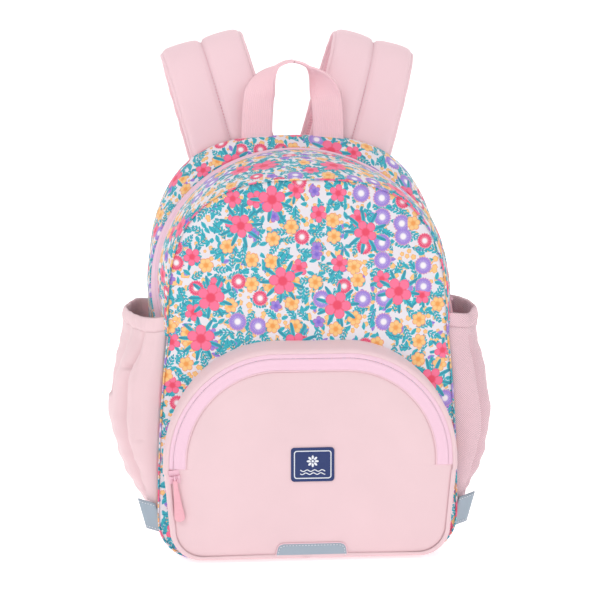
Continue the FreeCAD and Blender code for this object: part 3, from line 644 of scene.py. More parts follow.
# ------------------------------------------------------------------ outlines of the body, as in the CAD frame
BACK_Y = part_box("back_panel")[1][1]
FRONT_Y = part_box("front_lower_panel")[0][1]
POCKET_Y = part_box("pocket_lower_panel")[0][1]
FOLD = 172 * MM
BODY_HALF = 115 * MM
CORNER = 30 * MM
ZIP_RADIUS, ZIP_LEAN, ZIP_CONE = 113 * MM, math.radians(28), math.radians(35)
ZIP_CENTRE = Vector((0, -10.5 * MM, 207 * MM))
ZIP_UP = Vector((0, math.sin(ZIP_LEAN), math.cos(ZIP_LEAN)))
ZIP_AXIS = Vector((0, -math.cos(ZIP_LEAN), math.sin(ZIP_LEAN)))
ZIP_END = math.acos(-(ZIP_CENTRE.z - FOLD - 3.4 * MM) / (ZIP_RADIUS * math.cos(ZIP_LEAN)))
TAPE_EDGE, COIL_EDGE = 6.5 * MM, 1.6 * MM
ARCH_STEPS = 110
DENSE = 900


def spread(path, count):
    """Points spaced evenly by length along a path."""
    lengths = [0.0]
    for before, after in zip(path, path[1:]):
        lengths.append(lengths[-1] + (after - before).length)
    spaced, place = [], 0
    for number in range(count + 1):
        wanted = lengths[-1] * number / count
        while place < len(path) - 2 and lengths[place + 1] < wanted:
            place += 1
        span = lengths[place + 1] - lengths[place]
        spaced.append(path[place].lerp(path[place + 1], (wanted - lengths[place]) / span))
    return spaced


def both_sides(right_half):
    """A right half that starts at the top centre, mirrored into a run from left to right."""
    return [Vector((-point.x, point.y, point.z)) for point in reversed(right_half[1:])] + list(right_half)


def front_y(z):
    """Depth of the front cloth: upright below the fold, leaning back above it, with a soft bend."""
    lean, soft = 17 / 117, 9 * MM
    return FRONT_Y + lean * soft * math.log1p(math.exp(min((z - FOLD) / soft, 60)))


def arch(half_width, top, centre, power, depth_at):
    """An arch from left to right, down to the fold on each side."""
    path = []
    for step in range(DENSE + 1):
        turn = math.pi / 2 * step / DENSE
        x = half_width * math.sin(turn) ** (2 / power)
        z = centre + (top - centre) * max(math.cos(turn), 0) ** (2 / power)
        path.append(Vector((x, depth_at(z), z)))
    path.append(Vector((half_width, depth_at(FOLD), FOLD)))
    return both_sides(spread(path, ARCH_STEPS))


def low_side(half_width, y_at):
    """The right half of the body below the fold, down its side and round its corner."""
    points = []
    for step in range(1, 21):
        z = FOLD + (CORNER - FOLD) * step / 20
        x = BODY_HALF - (BODY_HALF - half_width) * ((z - CORNER) / (FOLD - CORNER)) ** 2
        points.append(Vector((x, y_at(z), z)))
    for step in range(1, 13):
        turn = math.pi / 2 * step / 12
        points.append(Vector((BODY_HALF - CORNER + CORNER * math.cos(turn), y_at(0),
                              CORNER - CORNER * math.sin(turn))))
    for share in (0.75, 0.5, 0.25, 0.0):
        points.append(Vector(((BODY_HALF - CORNER) * share, y_at(0), 0)))
    return points


def zip_frame(turn):
    """At an angle from the top: the zip's middle, its way forward in the band, and its outward normal."""
    radial = X * math.sin(turn) + ZIP_UP * math.cos(turn)
    forward = ZIP_AXIS * math.cos(ZIP_CONE) - radial * math.sin(ZIP_CONE)
    outward = radial * math.cos(ZIP_CONE) + ZIP_AXIS * math.sin(ZIP_CONE)
    return ZIP_CENTRE + radial * ZIP_RADIUS, forward, outward


zip_frames = [zip_frame(ZIP_END * step / ARCH_STEPS) for step in range(-ARCH_STEPS, ARCH_STEPS + 1)]
back_arch = arch(113 * MM, 316 * MM, 190 * MM, 3, lambda z: BACK_Y)
seam_arch = arch(107 * MM, 289 * MM, 180 * MM, 2.8, front_y)
back_low = low_side(113 * MM, lambda z: BACK_Y)
front_low = low_side(107 * MM, lambda z: FRONT_Y)


def closed_ring(upper, low):
    """The whole outline: the arch, then down the right side, along the bottom and up the left."""
    left = [Vector((-point.x, point.y, point.z)) for point in reversed(low[:-1])]
    return upper + low + left


def outward_at(point):
    """Away from the middle of the body, level with the front's plane."""
    return Vector((point.x, 0, max(point.z - FOLD, 0))).normalized()


def ripple(point, scale, seed):
    """Smooth unevenness from -1 to 1, the same each run."""
    return noise.noise(Vector((point.x / scale + seed * 7.3, point.y / scale + seed * 3.1,
        point.z / scale)))


def sewn_strip(name, first, second, material, puff, across=14, pucker=0.5 * MM, seed=1, uv_origin=(0, 0)):
    """Cloth between two seams: it swells between them and puckers along them."""
    rows = []
    for step in range(across + 1):
        share = step / across
        row = []
        for one, two in zip(first, second):
            point = one.lerp(two, share)
            out = outward_at(point)
            swell = math.sin(math.pi * share)
            gather = (1 - swell) * swell ** 0.4 * pucker * 2.2
            lift = puff * swell ** 0.8
            lift += ripple(point, 34 * MM, seed) * puff * 0.55 * swell
            lift += ripple(point, 9 * MM, seed + 1) * gather
            row.append(point + out * lift)
        rows.append(row)
    return grid_piece(name, rows, material, uv_origin=uv_origin)


def zip_rows(reaches, heights, frames):
    """Rows of points in the zip's band, each at a reach from its middle and a height above it."""
    return [[middle + forward * reach + outward * height for middle, forward, outward in frames]
            for reach, height in zip(reaches, heights)]


COIL_BUMP = (0.0, 0.45 * MM, 0.9 * MM, 1.0 * MM, 0.75 * MM)


def zip_half(name, sign):
    """Half of the zip: its tape and its half of the coil, as one closed band."""
    reaches = [sign * reach for reach in (TAPE_EDGE + 1.5 * MM, TAPE_EDGE - 0.4 * MM, COIL_EDGE + 0.9 * MM,
                                          COIL_EDGE, COIL_EDGE * 0.7, COIL_EDGE * 0.35, 0.12 * MM)]
    heights = [-0.5 * MM, 0.15 * MM, 0.15 * MM] + [height + 0.15 * MM for height in COIL_BUMP[:4]]
    if sign > 0:
        reaches, heights = reaches[::-1], heights[::-1]
    piece = grid_piece(name, zip_rows(reaches, heights, zip_frames), "tape")
    thicken(piece, 0.8 * MM)
    return piece


# ------------------------------------------------------------------ the body and the front flap
def make_rear():
    """The rear gusset, sides, base and back, which stay with the bag."""
    rear_edge = [middle - forward * TAPE_EDGE for middle, forward, _ in zip_frames]
    gusset = sewn_strip("rear_gusset_cloth", back_arch, rear_edge, "print", 3.0 * MM, seed=3,
                        uv_origin=(0.31, 0.13))
    thicken(gusset, 1.6 * MM)
    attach(gusset, "bag")
    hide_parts("rear_gusset")
    rear_zip = zip_half("rear_zip_half", -1)
    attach(rear_zip, "bag")
    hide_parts("rear_zip_tape", "rear_zip_coil")
    for side, sign in (("left", -1), ("right", 1)):
        back = [Vector((sign * point.x, point.y, point.z)) for point in back_low[:20]]
        front = [Vector((sign * point.x, point.y, point.z)) for point in front_low[:20]]
        back = [Vector((sign * 113 * MM, BACK_Y, FOLD))] + back
        front = [Vector((sign * 107 * MM, FRONT_Y, FOLD))] + front
        rows = []
        for step in range(17):
            share = step / 16
            rows.append([one.lerp(two, share) + X * sign * 1.5 * MM * math.sin(math.pi * share)
                         for one, two in zip(back, front)])
        if sign > 0:
            rows = rows[::-1]
        panel = thicken(grid_piece(f"side_cloth_{side}", rows, "print", uv_origin=(0.1 * sign, 0.4)),
            1.6 * MM)
        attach(panel, "bag")
        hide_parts(f"side_panel_{side}", f"corner_gusset_{side}")
    base_back, base_front = back_low[19:], front_low[19:]
    left = [[Vector((-point.x, point.y, point.z)) for point in reversed(run[:-1])]
            for run in (base_back, base_front)]
    base_back, base_front = base_back + left[0], base_front + left[1]
    rows = [[one.lerp(two, step / 12) for one, two in zip(base_back, base_front)] for step in range(13)]
    base = thicken(grid_piece("base_cloth", rows[::-1], "plain"), 1.8 * MM)
    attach(base, "bag")
    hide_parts("base_panel")
    ring = closed_ring(back_arch, back_low)

    def surface(x, z, share):
        return BACK_Y - 0.4 * MM + 2.2 * MM * (1 - share ** 4)
    back = fan_piece("back_cloth", ring[::-1], (0, 0.15), 18, "air_mesh", surface)
    thicken(back, 1.8 * MM)
    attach(back, "bag")
    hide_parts("back_panel")


def make_front():
    """The front cloth, front gusset, seam piping and front half of the zip."""
    ring = closed_ring(seam_arch, front_low)

    def surface(x, z, share):
        dome = 9 * MM * (1 - share ** 2.4)
        soft = ripple(Vector((x, 0, z)), 48 * MM, 5) * 1.6 * MM * (1 - share ** 6)
        edge = ripple(Vector((x, 0, z)), 12 * MM, 8) * 0.5 * MM * share ** 4 * (1 - share ** 20)
        return front_y(z) - dome + soft + edge
    front = fan_piece("front_cloth", ring, (0, 0.19), 40, "print", surface)
    thicken(front, 1.6 * MM)
    front_edge = [middle + forward * TAPE_EDGE for middle, forward, _ in zip_frames]
    gusset = sewn_strip("front_gusset_cloth", front_edge, seam_arch, "print", 3.2 * MM, 18, seed=11,
                        uv_origin=(0.05, 0.62))
    thicken(gusset, 1.6 * MM)
    front_zip = zip_half("front_zip_half", 1)
    cord_path = [point + outward_at(point) * 0.5 * MM - Y * 0.2 * MM for point in ring]
    piping = tube_piece("front_seam_roll", cord_path, 0.75 * MM, "print", closed=True, sides=8)
    for piece, nodes, slot in (
            (front, ("front_panel", "front_lower_panel"), "print_cloth"),
            (gusset, ("front_gusset",), "print_cloth"),
            (front_zip, ("front_zip_tape", "front_zip_coil", "zip_end_left", "zip_end_right"), "zip_tape"),
            (piping, ("front_piping",), "piping")):
        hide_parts(*nodes)
        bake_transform(piece)


make_rear()
make_front()


# ------------------------------------------------------------------ the front pocket
ARC_X, ARC_Z = 26 * MM, 78 * MM
POCKET_EDGE, POCKET_BOTTOM, POCKET_CORNER = 85 * MM, 4 * MM, 22 * MM
ZIP_R = 79 * MM
BAND_IN, BAND_OUT = 69.8 * MM, 82.6 * MM
BAND_FOOT = 74 * MM                    # height where the zip ends and the panel widens
POCKET_DOME = 6.5 * MM


def pocket_width(z):
    """Half the pocket's width at a height below its arch."""
    return ARC_X + POCKET_EDGE - 5 * MM * min(max((ARC_Z - z) / (ARC_Z - POCKET_CORNER - POCKET_BOTTOM),
        0), 1)


def pocket_y(x, z):
    """Depth of the pocket's domed front."""
    across = abs(x) / pocket_width(z)
    if z > ARC_Z:
        along, power = (z - ARC_Z) / POCKET_EDGE, 2.35
    else:
        along, power = (ARC_Z - z) / (ARC_Z - POCKET_BOTTOM), 6
    share = min((across ** power + along ** power) ** (1 / power), 1.02)
    soft = ripple(Vector((x, 0, z)), 60 * MM, 21) * 0.9 * MM * max(1 - share ** 4, 0)
    return POCKET_Y - POCKET_DOME * (1 - share ** 2.3) + soft


def pocket_arc(reach, end, rise=None, steps=60):
    """The right half of an arch round the zip's centre, from its top down to a height."""
    rise = reach if rise is None else rise
    points = [(ARC_X * step / 12, ARC_Z + rise) for step in range(12)]
    for step in range(steps + 1):
        turn = math.pi / 2 * step / steps
        points.append((ARC_X + reach * math.sin(turn), ARC_Z + rise * math.cos(turn)))
    for step in range(1, 9):
        points.append((ARC_X + reach, ARC_Z + (end - ARC_Z) * step / 8))
    return [Vector((x, 0, z)) for x, z in points]


def pocket_foot(inset, start, wide=POCKET_EDGE + ARC_X):
    """The right half of the pocket's outline from a height down its side, round its corner and to its middle."""
    corner, low = POCKET_CORNER, POCKET_BOTTOM + inset
    points = []
    for step in range(13):
        z = start + (low + corner - start) * step / 12
        points.append((pocket_width(z) - inset + wide - POCKET_EDGE - ARC_X, z))
    side = points[-1][0]
    for step in range(1, 15):
        turn = math.pi / 2 * step / 14
        points.append((side - corner + corner * math.cos(turn), low + corner - corner * math.sin(turn)))
    for step in range(1, 13):
        points.append(((side - corner) * (1 - step / 12), low))
    return [Vector((x, 0, z)) for x, z in points]


def on_pocket(points, lift=0.0):
    """Points laid on the pocket's front."""
    return [Vector((point.x, pocket_y(point.x, point.z) - lift, point.z)) for point in points]


def whole_ring(right_half):
    """A closed ring from a right half that runs from its top centre to its bottom centre."""
    left = [Vector((-point.x, point.y, point.z)) for point in reversed(right_half[1:-1])]
    return left + list(right_half)


def bend_pocket(piece, *nodes, slot=None):
    """Hides the given CAD parts and bakes the piece's transform into its mesh."""
    if nodes:
        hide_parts(*nodes)
    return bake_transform(piece)


def pocket_band(name, outer, inner, heights):
    """A strip of the pocket's zip between two radii."""
    rows = []
    for number, height in enumerate(heights):
        radius = outer + (inner - outer) * number / (len(heights) - 1)
        rows.append(on_pocket(both_sides(pocket_arc(radius, BAND_FOOT)), height))
    return thicken(grid_piece(name, rows, "tape"), 0.9 * MM)


def make_pocket():
    """The front pocket: its gusset, zip, domed front, seam rolls and rows of stitches."""
    back = pocket_arc(82 * MM, 70 * MM, 90 * MM) + pocket_foot(0.0, 69 * MM, ARC_X + 82 * MM)
    front = pocket_arc(POCKET_EDGE, 70 * MM) + pocket_foot(0.0, 69 * MM)
    back = whole_ring([Vector((point.x, FRONT_Y - 0.4 * MM, point.z)) for point in back])
    front = whole_ring(on_pocket(front, -0.4 * MM))
    rows = []
    for step in range(15):
        share = step / 14
        row = []
        for one, two in zip(back, front):
            point = one.lerp(two, share)
            out = Vector((point.x, 0, point.z - 0.08)).normalized()
            swell = math.sin(math.pi * share) * (1.6 * MM + 0.7 * MM * ripple(point, 26 * MM, 4))
            row.append(point + out * swell + out * 0.25 * MM * ripple(point, 6 * MM,
                9) * (1 - swell / (3 * MM)))
        rows.append(row)
    for inset, lift in ((0.6, 0.75), (1.6, 0.95), (2.6, 0.8)):
        rows.append([Vector((point.x, point.y - lift * MM, point.z)) - Vector((
            point.x, 0, point.z - 0.08)).normalized() * inset * MM for point in front])
    gusset = thicken(grid_piece("pocket_gusset_cloth", rows, "plain", closed=True), 1.2 * MM)
    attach(gusset, "bag")
    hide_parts("pocket_gusset")
    for number, share in enumerate((2, 11)):
        row = rows[share]
        normals = [Vector((point.x, -0.02, point.z - 0.08)).normalized() for point in row]
        line = stitches(f"pocket_gusset_stitches_{number}", row, normals)
        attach(line, "bag")
    outer = pocket_band("pocket_zip_outer", BAND_OUT + 1.8 * MM, ZIP_R + 0.15 * MM, (-0.6 * MM, 0.0,
        0.1 * MM, 0.5 * MM, 0.35 * MM))
    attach(outer, "bag")
    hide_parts("pocket_zip_tape_outer", "pocket_zip_coil_outer", "pocket_zip_end_left",
        "pocket_zip_end_right")
    inner = pocket_band("pocket_zip_inner", ZIP_R - 0.15 * MM, BAND_IN, (0.35 * MM, 0.5 * MM, 0.1 * MM,
        0.0, 0.0, 0.0, -0.2 * MM))
    bend_pocket(inner, "pocket_zip_tape_inner", "pocket_zip_coil_inner", slot="zip_tape")
    for number, (radius, flap) in enumerate(((ZIP_R + 2.1 * MM, False), (ZIP_R - 2.1 * MM, True),
        (BAND_IN + 1.6 * MM, True))):
        path = on_pocket(both_sides(pocket_arc(radius, BAND_FOOT + 1 * MM)), 0.3 * MM)
        line = stitches(f"pocket_zip_stitches_{number}", path, [-Y] * len(path), "seam", 2.4 * MM,
            0.9 * MM, 0.24 * MM)
        if flap:
            bend_pocket(line)
        else:
            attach(line, "bag")
    shelf = [Vector((ARC_X + BAND_IN + (pocket_width(BAND_FOOT) - 0.8 * MM - ARC_X - BAND_IN) * step / 6,
        0, BAND_FOOT - 0.2 * MM))
             for step in range(1, 6)]
    half = pocket_arc(BAND_IN, BAND_FOOT) + shelf + pocket_foot(0.8 * MM, BAND_FOOT - 0.6 * MM)
    ring = whole_ring(on_pocket(half))

    def surface(x, z, share):
        return pocket_y(x, z) - 0.5 * MM * (1 - share ** 30)
    panel = fan_piece("pocket_front_cloth", ring, (0, 70 * MM), 36, "plain", surface)
    thicken(panel, 1.4 * MM)
    bend_pocket(panel, "pocket_upper_panel", "pocket_lower_panel", slot="plain_cloth")
    roll = tube_piece("pocket_seam_roll", [point - Y * 0.15 * MM for point in ring], 0.75 * MM, "piping",
        True, 8)
    bend_pocket(roll, "pocket_piping", slot="piping")
    # painted shadow: a thin deep-pink tube just outside the seam roll stands in for the shade in the seam's gap
    dark = [point - Y * 0.1 * MM + Vector((point.x, 0,
        point.z - 0.07)).normalized() * 0.75 * MM for point in ring]
    line = tube_piece("pocket_seam_shadow_line", dark, 0.32 * MM, "seam", True, 6)
    bend_pocket(line, slot="piping")


make_pocket()


# ------------------------------------------------------------------ shoulder straps, handle and lower webbing
STRAP_ROUTE = [(67, 305.5), (71, 345), (82, 376), (100, 390), (117, 377), (126, 343), (128, 285), (123,
    215),
               (114, 150)]
STRAP_HALF, STRAP_TIP_HALF, STRAP_THICK = 33 * MM, 17 * MM, 5 * MM
STRAP_IN, STRAP_OUT, SPLAY = 47 * MM, 70 * MM, 0.28


def curve_through(points, steps):
    """A smooth curve through points, with some steps between each two."""
    ends = [points[0] * 2 - points[1]] + list(points) + [points[-1] * 2 - points[-2]]
    path = []
    for index in range(1, len(ends) - 2):
        a, b, c, d = ends[index - 1:index + 3]
        for step in range(steps):
            t = step / steps
            path.append(((b * 2) + (c - a) * t + (a * 2 - b * 5 + c * 4 - d) * t ** 2
                         + (b * 3 - a - c * 3 + d) * t ** 3) / 2)
    return path + [points[-1]]


def strap_side(z):
    """A strap's distance from the middle at a height, and its slope."""
    low, high = STRAP_ROUTE[-1][1] * MM, STRAP_ROUTE[0][1] * MM
    if z >= high:
        return STRAP_IN + SPLAY * (z - high), SPLAY
    span = high - low
    share = max(0, (z - low) / span)
    x = STRAP_OUT + (STRAP_IN - STRAP_OUT) * share ** 2 * (3 - 2 * share) + SPLAY * span * share ** 2 * (share - 1)
    slope = (STRAP_IN - STRAP_OUT) * 6 * share * (1 - share) / span + SPLAY * share * (3 * share - 2)
    return x, slope


def strap_frames(sign):
    """Along a strap: its middle, its directions across and outwards, and half its width."""
    route = spread(curve_through([Vector((0, y * MM, z * MM)) for y, z in STRAP_ROUTE], 24), 150)
    frames = []
    for number, point in enumerate(route):
        after, before = route[min(number + 1, 150)], route[max(number - 1, 0)]
        ahead = (after - before).normalized()
        x, slope = strap_side(point.z)
        across = Vector((1, 0, -sign * slope)).normalized()
        ahead = Vector((sign * slope * ahead.z, ahead.y, ahead.z)).normalized()
        out = across.cross(ahead)
        taper = max(0, (number / 150 - 0.7) / 0.3)
        frames.append((Vector((sign * x, point.y, point.z)), across, out,
                       STRAP_HALF + (STRAP_TIP_HALF - STRAP_HALF) * taper ** 2))
    return frames


def strap_face(name, frames, outer, material, seed):
    """One face of a strap: two soft ribs beside its middle seam outside, or flatter mesh inside."""
    across_steps = 28
    rows = []
    for number, (middle, across, out, half) in enumerate(frames):
        row = []
        for step in range(across_steps + 1):
            share = -1 + 2 * step / across_steps
            rib = 1 - abs(2 * abs(share) - 1) ** 2.4
            edge = min((1 - abs(share)) / 0.09, 1) ** 0.5
            if outer:
                height = STRAP_THICK * (0.24 + edge * (0.26 + 0.56 * rib ** 0.55))
                height -= 1.5 * MM * math.exp(-(share / 0.05) ** 2)
            else:
                height = -STRAP_THICK * (0.22 + edge * (0.5 + 0.2 * rib ** 0.5))
            pucker = ripple(Vector((share * half, number * 2.4 * MM, 0)), 7 * MM, seed) * 0.35 * MM
            wave = ripple(Vector((share * half, number * 2.4 * MM, 0)), 30 * MM, seed + 3) * 0.5 * MM
            side = share * half + (ripple(Vector((0, number * 2.4 * MM, 0)), 8 * MM, seed + 6) * 0.7 * MM
                                   if abs(share) > 0.93 else 0.0) * math.copysign(1, share)
            near_edge = abs(share) ** 8
            row.append(middle + across * side + out * (height + pucker * near_edge + wave * (1 - near_edge)))
        rows.append(row)
    if not outer:
        rows = [row[::-1] for row in rows]
    return grid_piece(name, rows, material)


def bend_strap(piece, side, slot, *nodes):
    """Hides the given CAD parts and bakes the piece's transform into its mesh."""
    if nodes:
        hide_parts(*nodes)
    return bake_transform(piece)


def make_straps():
    """Both shoulder straps, with their bound edges and middle seams."""
    for side, sign in (("left", -1), ("right", 1)):
        frames = strap_frames(sign)
        outer = strap_face(f"strap_cloth_{side}", frames, True, "strap", 31 + sign)
        thicken(outer, 0.8 * MM)
        bend_strap(outer, side, "strap_cloth", f"strap_{side}", f"strap_front_{side}")
        inner = strap_face(f"strap_mesh_{side}", frames, False, "air_mesh", 41 + sign)
        thicken(inner, 0.8 * MM)
        bend_strap(inner, side, "back_mesh")
        for edge in (-1, 1):
            path = [middle + across * edge * (half - 0.4 * MM) + out * 0.15 * MM
                    + across * edge * 0.5 * MM * ripple(Vector((0, number * 2.4 * MM, 0)), 8 * MM,
                        31 + sign + 6)
                    for number, (middle, across, out, half) in enumerate(frames)]
            normals = [out for _, _, out, _ in frames]
            bound = tube_piece(f"strap_edge_{side}_{'outer' if edge == sign else 'inner'}", path, 1.9 * MM,
                               "strap", sides=10, flat=0.85, normals=normals)
            bend_strap(bound, side, "strap_cloth")
            line = [point - across * edge * 2.6 * MM + out * 1.5 * MM
                    for point, (_, across, out, _) in zip(path, frames)]
            bend_strap(stitches(f"strap_edge_stitches_{side}_{'outer' if edge == sign else 'inner'}", line,
                normals,
                                "thread", 2.8 * MM, 1.7 * MM, 0.22 * MM), side, "strap_cloth")
        middle_line = [middle + out * (STRAP_THICK * 0.5 - 1.25 * MM) for middle, _, out, _ in frames]
        bend_strap(stitches(f"strap_middle_stitches_{side}", middle_line, [out for _, _, out, _ in frames],
            "seam",
                            2.6 * MM, 1.7 * MM, 0.3 * MM), side, "strap_cloth")


def make_handle():
    """The carrying loop: webbing that faces forward at its feet and turns edge-on at its crown."""
    box_low, box_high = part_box("handle")
    foot = Vector((29 * MM, (box_low[1] + box_high[1]) / 2, 317.6 * MM))
    crown, straight, half = 377 * MM, 16 * MM, 12.5 * MM
    rise = crown - foot.z - straight
    rows, steps = [], 96
    centres, widths, normals = [], [], []
    for step in range(-6, steps + 7):
        share = min(max(step / steps, 0), 1)
        turn = math.pi * share
        ease = math.sin(turn)
        leg = straight * max(0, 1 - ease * 3)
        centre = Vector((-foot.x * math.cos(turn), foot.y, foot.z + straight - leg + rise * ease))
        along = Vector((foot.x * math.sin(turn), 0, rise * math.cos(turn))).normalized()
        beyond = max(-step, step - steps, 0) * 2 * MM
        centre.z -= beyond
        twist = math.pi / 2 * min(1, max(0, (ease - 0.3) / 0.6)) * (1 if share <= 0.5 else -1)
        across = along.cross(Y)
        width = across * math.cos(twist) + Y * math.sin(twist)
        centres.append(centre)
        widths.append(width)
        normals.append(along.cross(width))
    for share in [-1 + 2 * step / 12 for step in range(13)]:
        rows.append([centre + width * share * half + normal * 0.7 * MM * (1 - share ** 2)
                     for centre, width, normal in zip(centres, widths, normals)])
    ribbon = thicken(grid_piece("handle_webbing", rows, "webbing"), 1.7 * MM, 0)
    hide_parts("handle")
    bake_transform(ribbon)


make_straps()
make_handle()


# ------------------------------------------------------------------ side pouches, gathered by elastic rims
POUCH_LEVELS = [(24, 1.2), (30, 3.0), (36, 6.5), (42, 11), (50, 16), (64, 23.5), (78, 29.5), (94, 34),
                (106, 36), (120, 36), (134, 35), (148, 32.5), (160, 29.5), (170, 27), (176, 26), (187,
                    25.5)]
POUCH_FRONT, POUCH_BACK = -57 * MM, 50 * MM


def side_surface(y, z):
    """Half width of the side panel at a depth and height."""
    drop = (max(min(z, FOLD) - CORNER, 0) / (FOLD - CORNER)) ** 2
    share = (y - FRONT_Y) / (BACK_Y - FRONT_Y)
    front, rear = (BODY_HALF - (BODY_HALF - half) * drop for half in (107 * MM, 113 * MM))
    return front + (rear - front) * share


def pouch_bulge(z):
    """How far a pouch stands out at a height."""
    for (low, one), (high, two) in zip(POUCH_LEVELS, POUCH_LEVELS[1:]):
        if z <= high * MM:
            share = (z / MM - low) / (high - low)
            return (one + (two - one) * share * share * (3 - 2 * share)) * MM
    return POUCH_LEVELS[-1][1] * MM


def crease(along, height, path, width, depth):
    """A soft valley that follows a few (along, height) points; positive depth goes in."""
    for (a_one, z_one), (a_two, z_two) in zip(path, path[1:]):
        if z_two <= height <= z_one:
            share = (z_one - height) / (z_one - z_two)
            place = a_one + (a_two - a_one) * share
            ends = min(1, (z_one + 8 - height) / 22) if (a_one, z_one) == path[0] else 1
            return depth * math.exp(-((along - place) / width) ** 2) * ends
    return 0.0


def make_pouch(side, sign, material, creases, seed):
    """One pouch: cloth that bulges from its seams and is gathered under a soft elastic rim."""
    around, levels = 120, 100
    top, foot = 176 * MM, 24 * MM
    rim_top = 188 * MM

    def point_at(step, z, lift=0.0):
        share = step / around
        turn = math.pi * share
        y = (POUCH_FRONT + POUCH_BACK) / 2 - (POUCH_BACK - POUCH_FRONT) / 2 * math.cos(turn)
        bulge = pouch_bulge(z)
        full = math.sin(turn) ** 0.75
        height = z / MM
        away = 0.0
        for path, width, depth in creases:
            away += crease(share, height, path, width, depth)
        gather = max(0, 1 - abs(height - 168) / 26) * 1.1 + 0.25
        folds = 1.5 * math.sin(share * 46 + 2.2 * ripple(Vector((share * 0.1, z, 0)), 40 * MM,
            seed)) * 0.55 * MM * gather
        folds += ripple(Vector((share * 0.22, z * 0.35, seed)), 13 * MM, seed + 2) * 1.6 * MM * gather
        folds += ripple(Vector((share * 0.14, z, seed)), 34 * MM, seed + 4) * 2.6 * MM
        reach = 0.9 * MM + bulge * full + (folds - away * MM + lift) * min(full * 1.4, 1)
        reach = max(reach, 0.7 * MM + 0.3 * MM * full)
        sag = ripple(Vector((share * 0.1, 0.0, seed)), 24 * MM,
            seed + 5) * 2.0 * MM if z > 150 * MM else 0.0
        lean = 4 * MM * (share - 0.5) * min(max((height - 150) / 30, 0), 1)
        return Vector((sign * (side_surface(y, z) + reach), y, z + (sag + lean) * min(full * 1.5, 1)))

    rows = [[point_at(step, foot + (top - foot) * level / levels) for step in range(around + 1)]
            for level in range(levels + 1)]
    if sign > 0:
        rows = rows[::-1]
    cloth = thicken(grid_piece(f"side_pouch_cloth_{side}", rows, material), 0.7 * MM)
    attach(cloth, "bag")
    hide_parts(f"side_pouch_{side}")
    rim_rows = []
    profile = [(0.0, 0.2), (0.12, 1.0), (0.35, 1.5), (0.65, 1.5), (0.88, 1.0), (1.0, 0.0), (0.88, -1.0),
        (0.6, -1.3),
               (0.3, -1.3), (0.0, -1.0)]
    for share, lift in profile:
        z = top - 0.6 * MM + (rim_top - top) * share
        row = []
        for step in range(around + 1):
            ruffle = 0.55 * MM * math.sin(step * 1.9 + 2 * ripple(Vector((step * MM, 0, 0)), 9 * MM, seed))
            row.append(point_at(step, z, lift * 1.1 * MM + ruffle * (1 - abs(share - 0.5))))
        rim_rows.append(row)
    if sign > 0:
        rim_rows = rim_rows[::-1]
    rim = grid_piece(f"pouch_rim_{side}", rim_rows, material)
    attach(rim, "bag")
    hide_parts(f"pouch_elastic_{side}")
    line = [point_at(step, top - 0.2 * MM, 0.8 * MM) for step in range(2, around - 1)]
    normals = [Vector((sign, -0.6 + step / around * 1.2, 0)).normalized() for step in range(2, around - 1)]
    row = stitches(f"pouch_stitches_{side}", line, normals, "thread", 2.8 * MM, 1.6 * MM, 0.24 * MM)
    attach(row, "bag")
    return cloth, rim


make_pouch("left", -1, "plain",
           [([(0.27, 146), (0.28, 110), (0.25, 80), (0.19, 44)], 0.034, 14.0),
            ([(0.19, 176), (0.21, 160), (0.28, 144)], 0.03, 8.5),
            ([(0.08, 165), (0.12, 120), (0.10, 90)], 0.04, 3.0),
            ([(0.45, 176), (0.43, 150), (0.47, 120)], 0.045, 6.0),
            ([(0.66, 172), (0.62, 120), (0.66, 36)], 0.06, 5.0),
            ([(0.85, 170), (0.82, 120), (0.86, 50)], 0.06, 2.0)], 51)
make_pouch("right", 1, "mesh",
           [([(0.20, 170), (0.23, 130), (0.24, 90), (0.20, 44)], 0.04, 12.0),
            ([(0.42, 172), (0.40, 140), (0.43, 110)], 0.05, 4.0),
            ([(0.66, 168), (0.60, 100), (0.62, 60)], 0.07, 5.0)], 61)


def ribbon(name, path, half, thickness, material, across=X):
    """A flat length of webbing along a path."""
    rows = []
    for share in (-1, -0.9, -0.5, 0, 0.5, 0.9, 1):
        rows.append([point + across * share * half for point in path])
    return thicken(grid_piece(name, rows, material), thickness, 0)


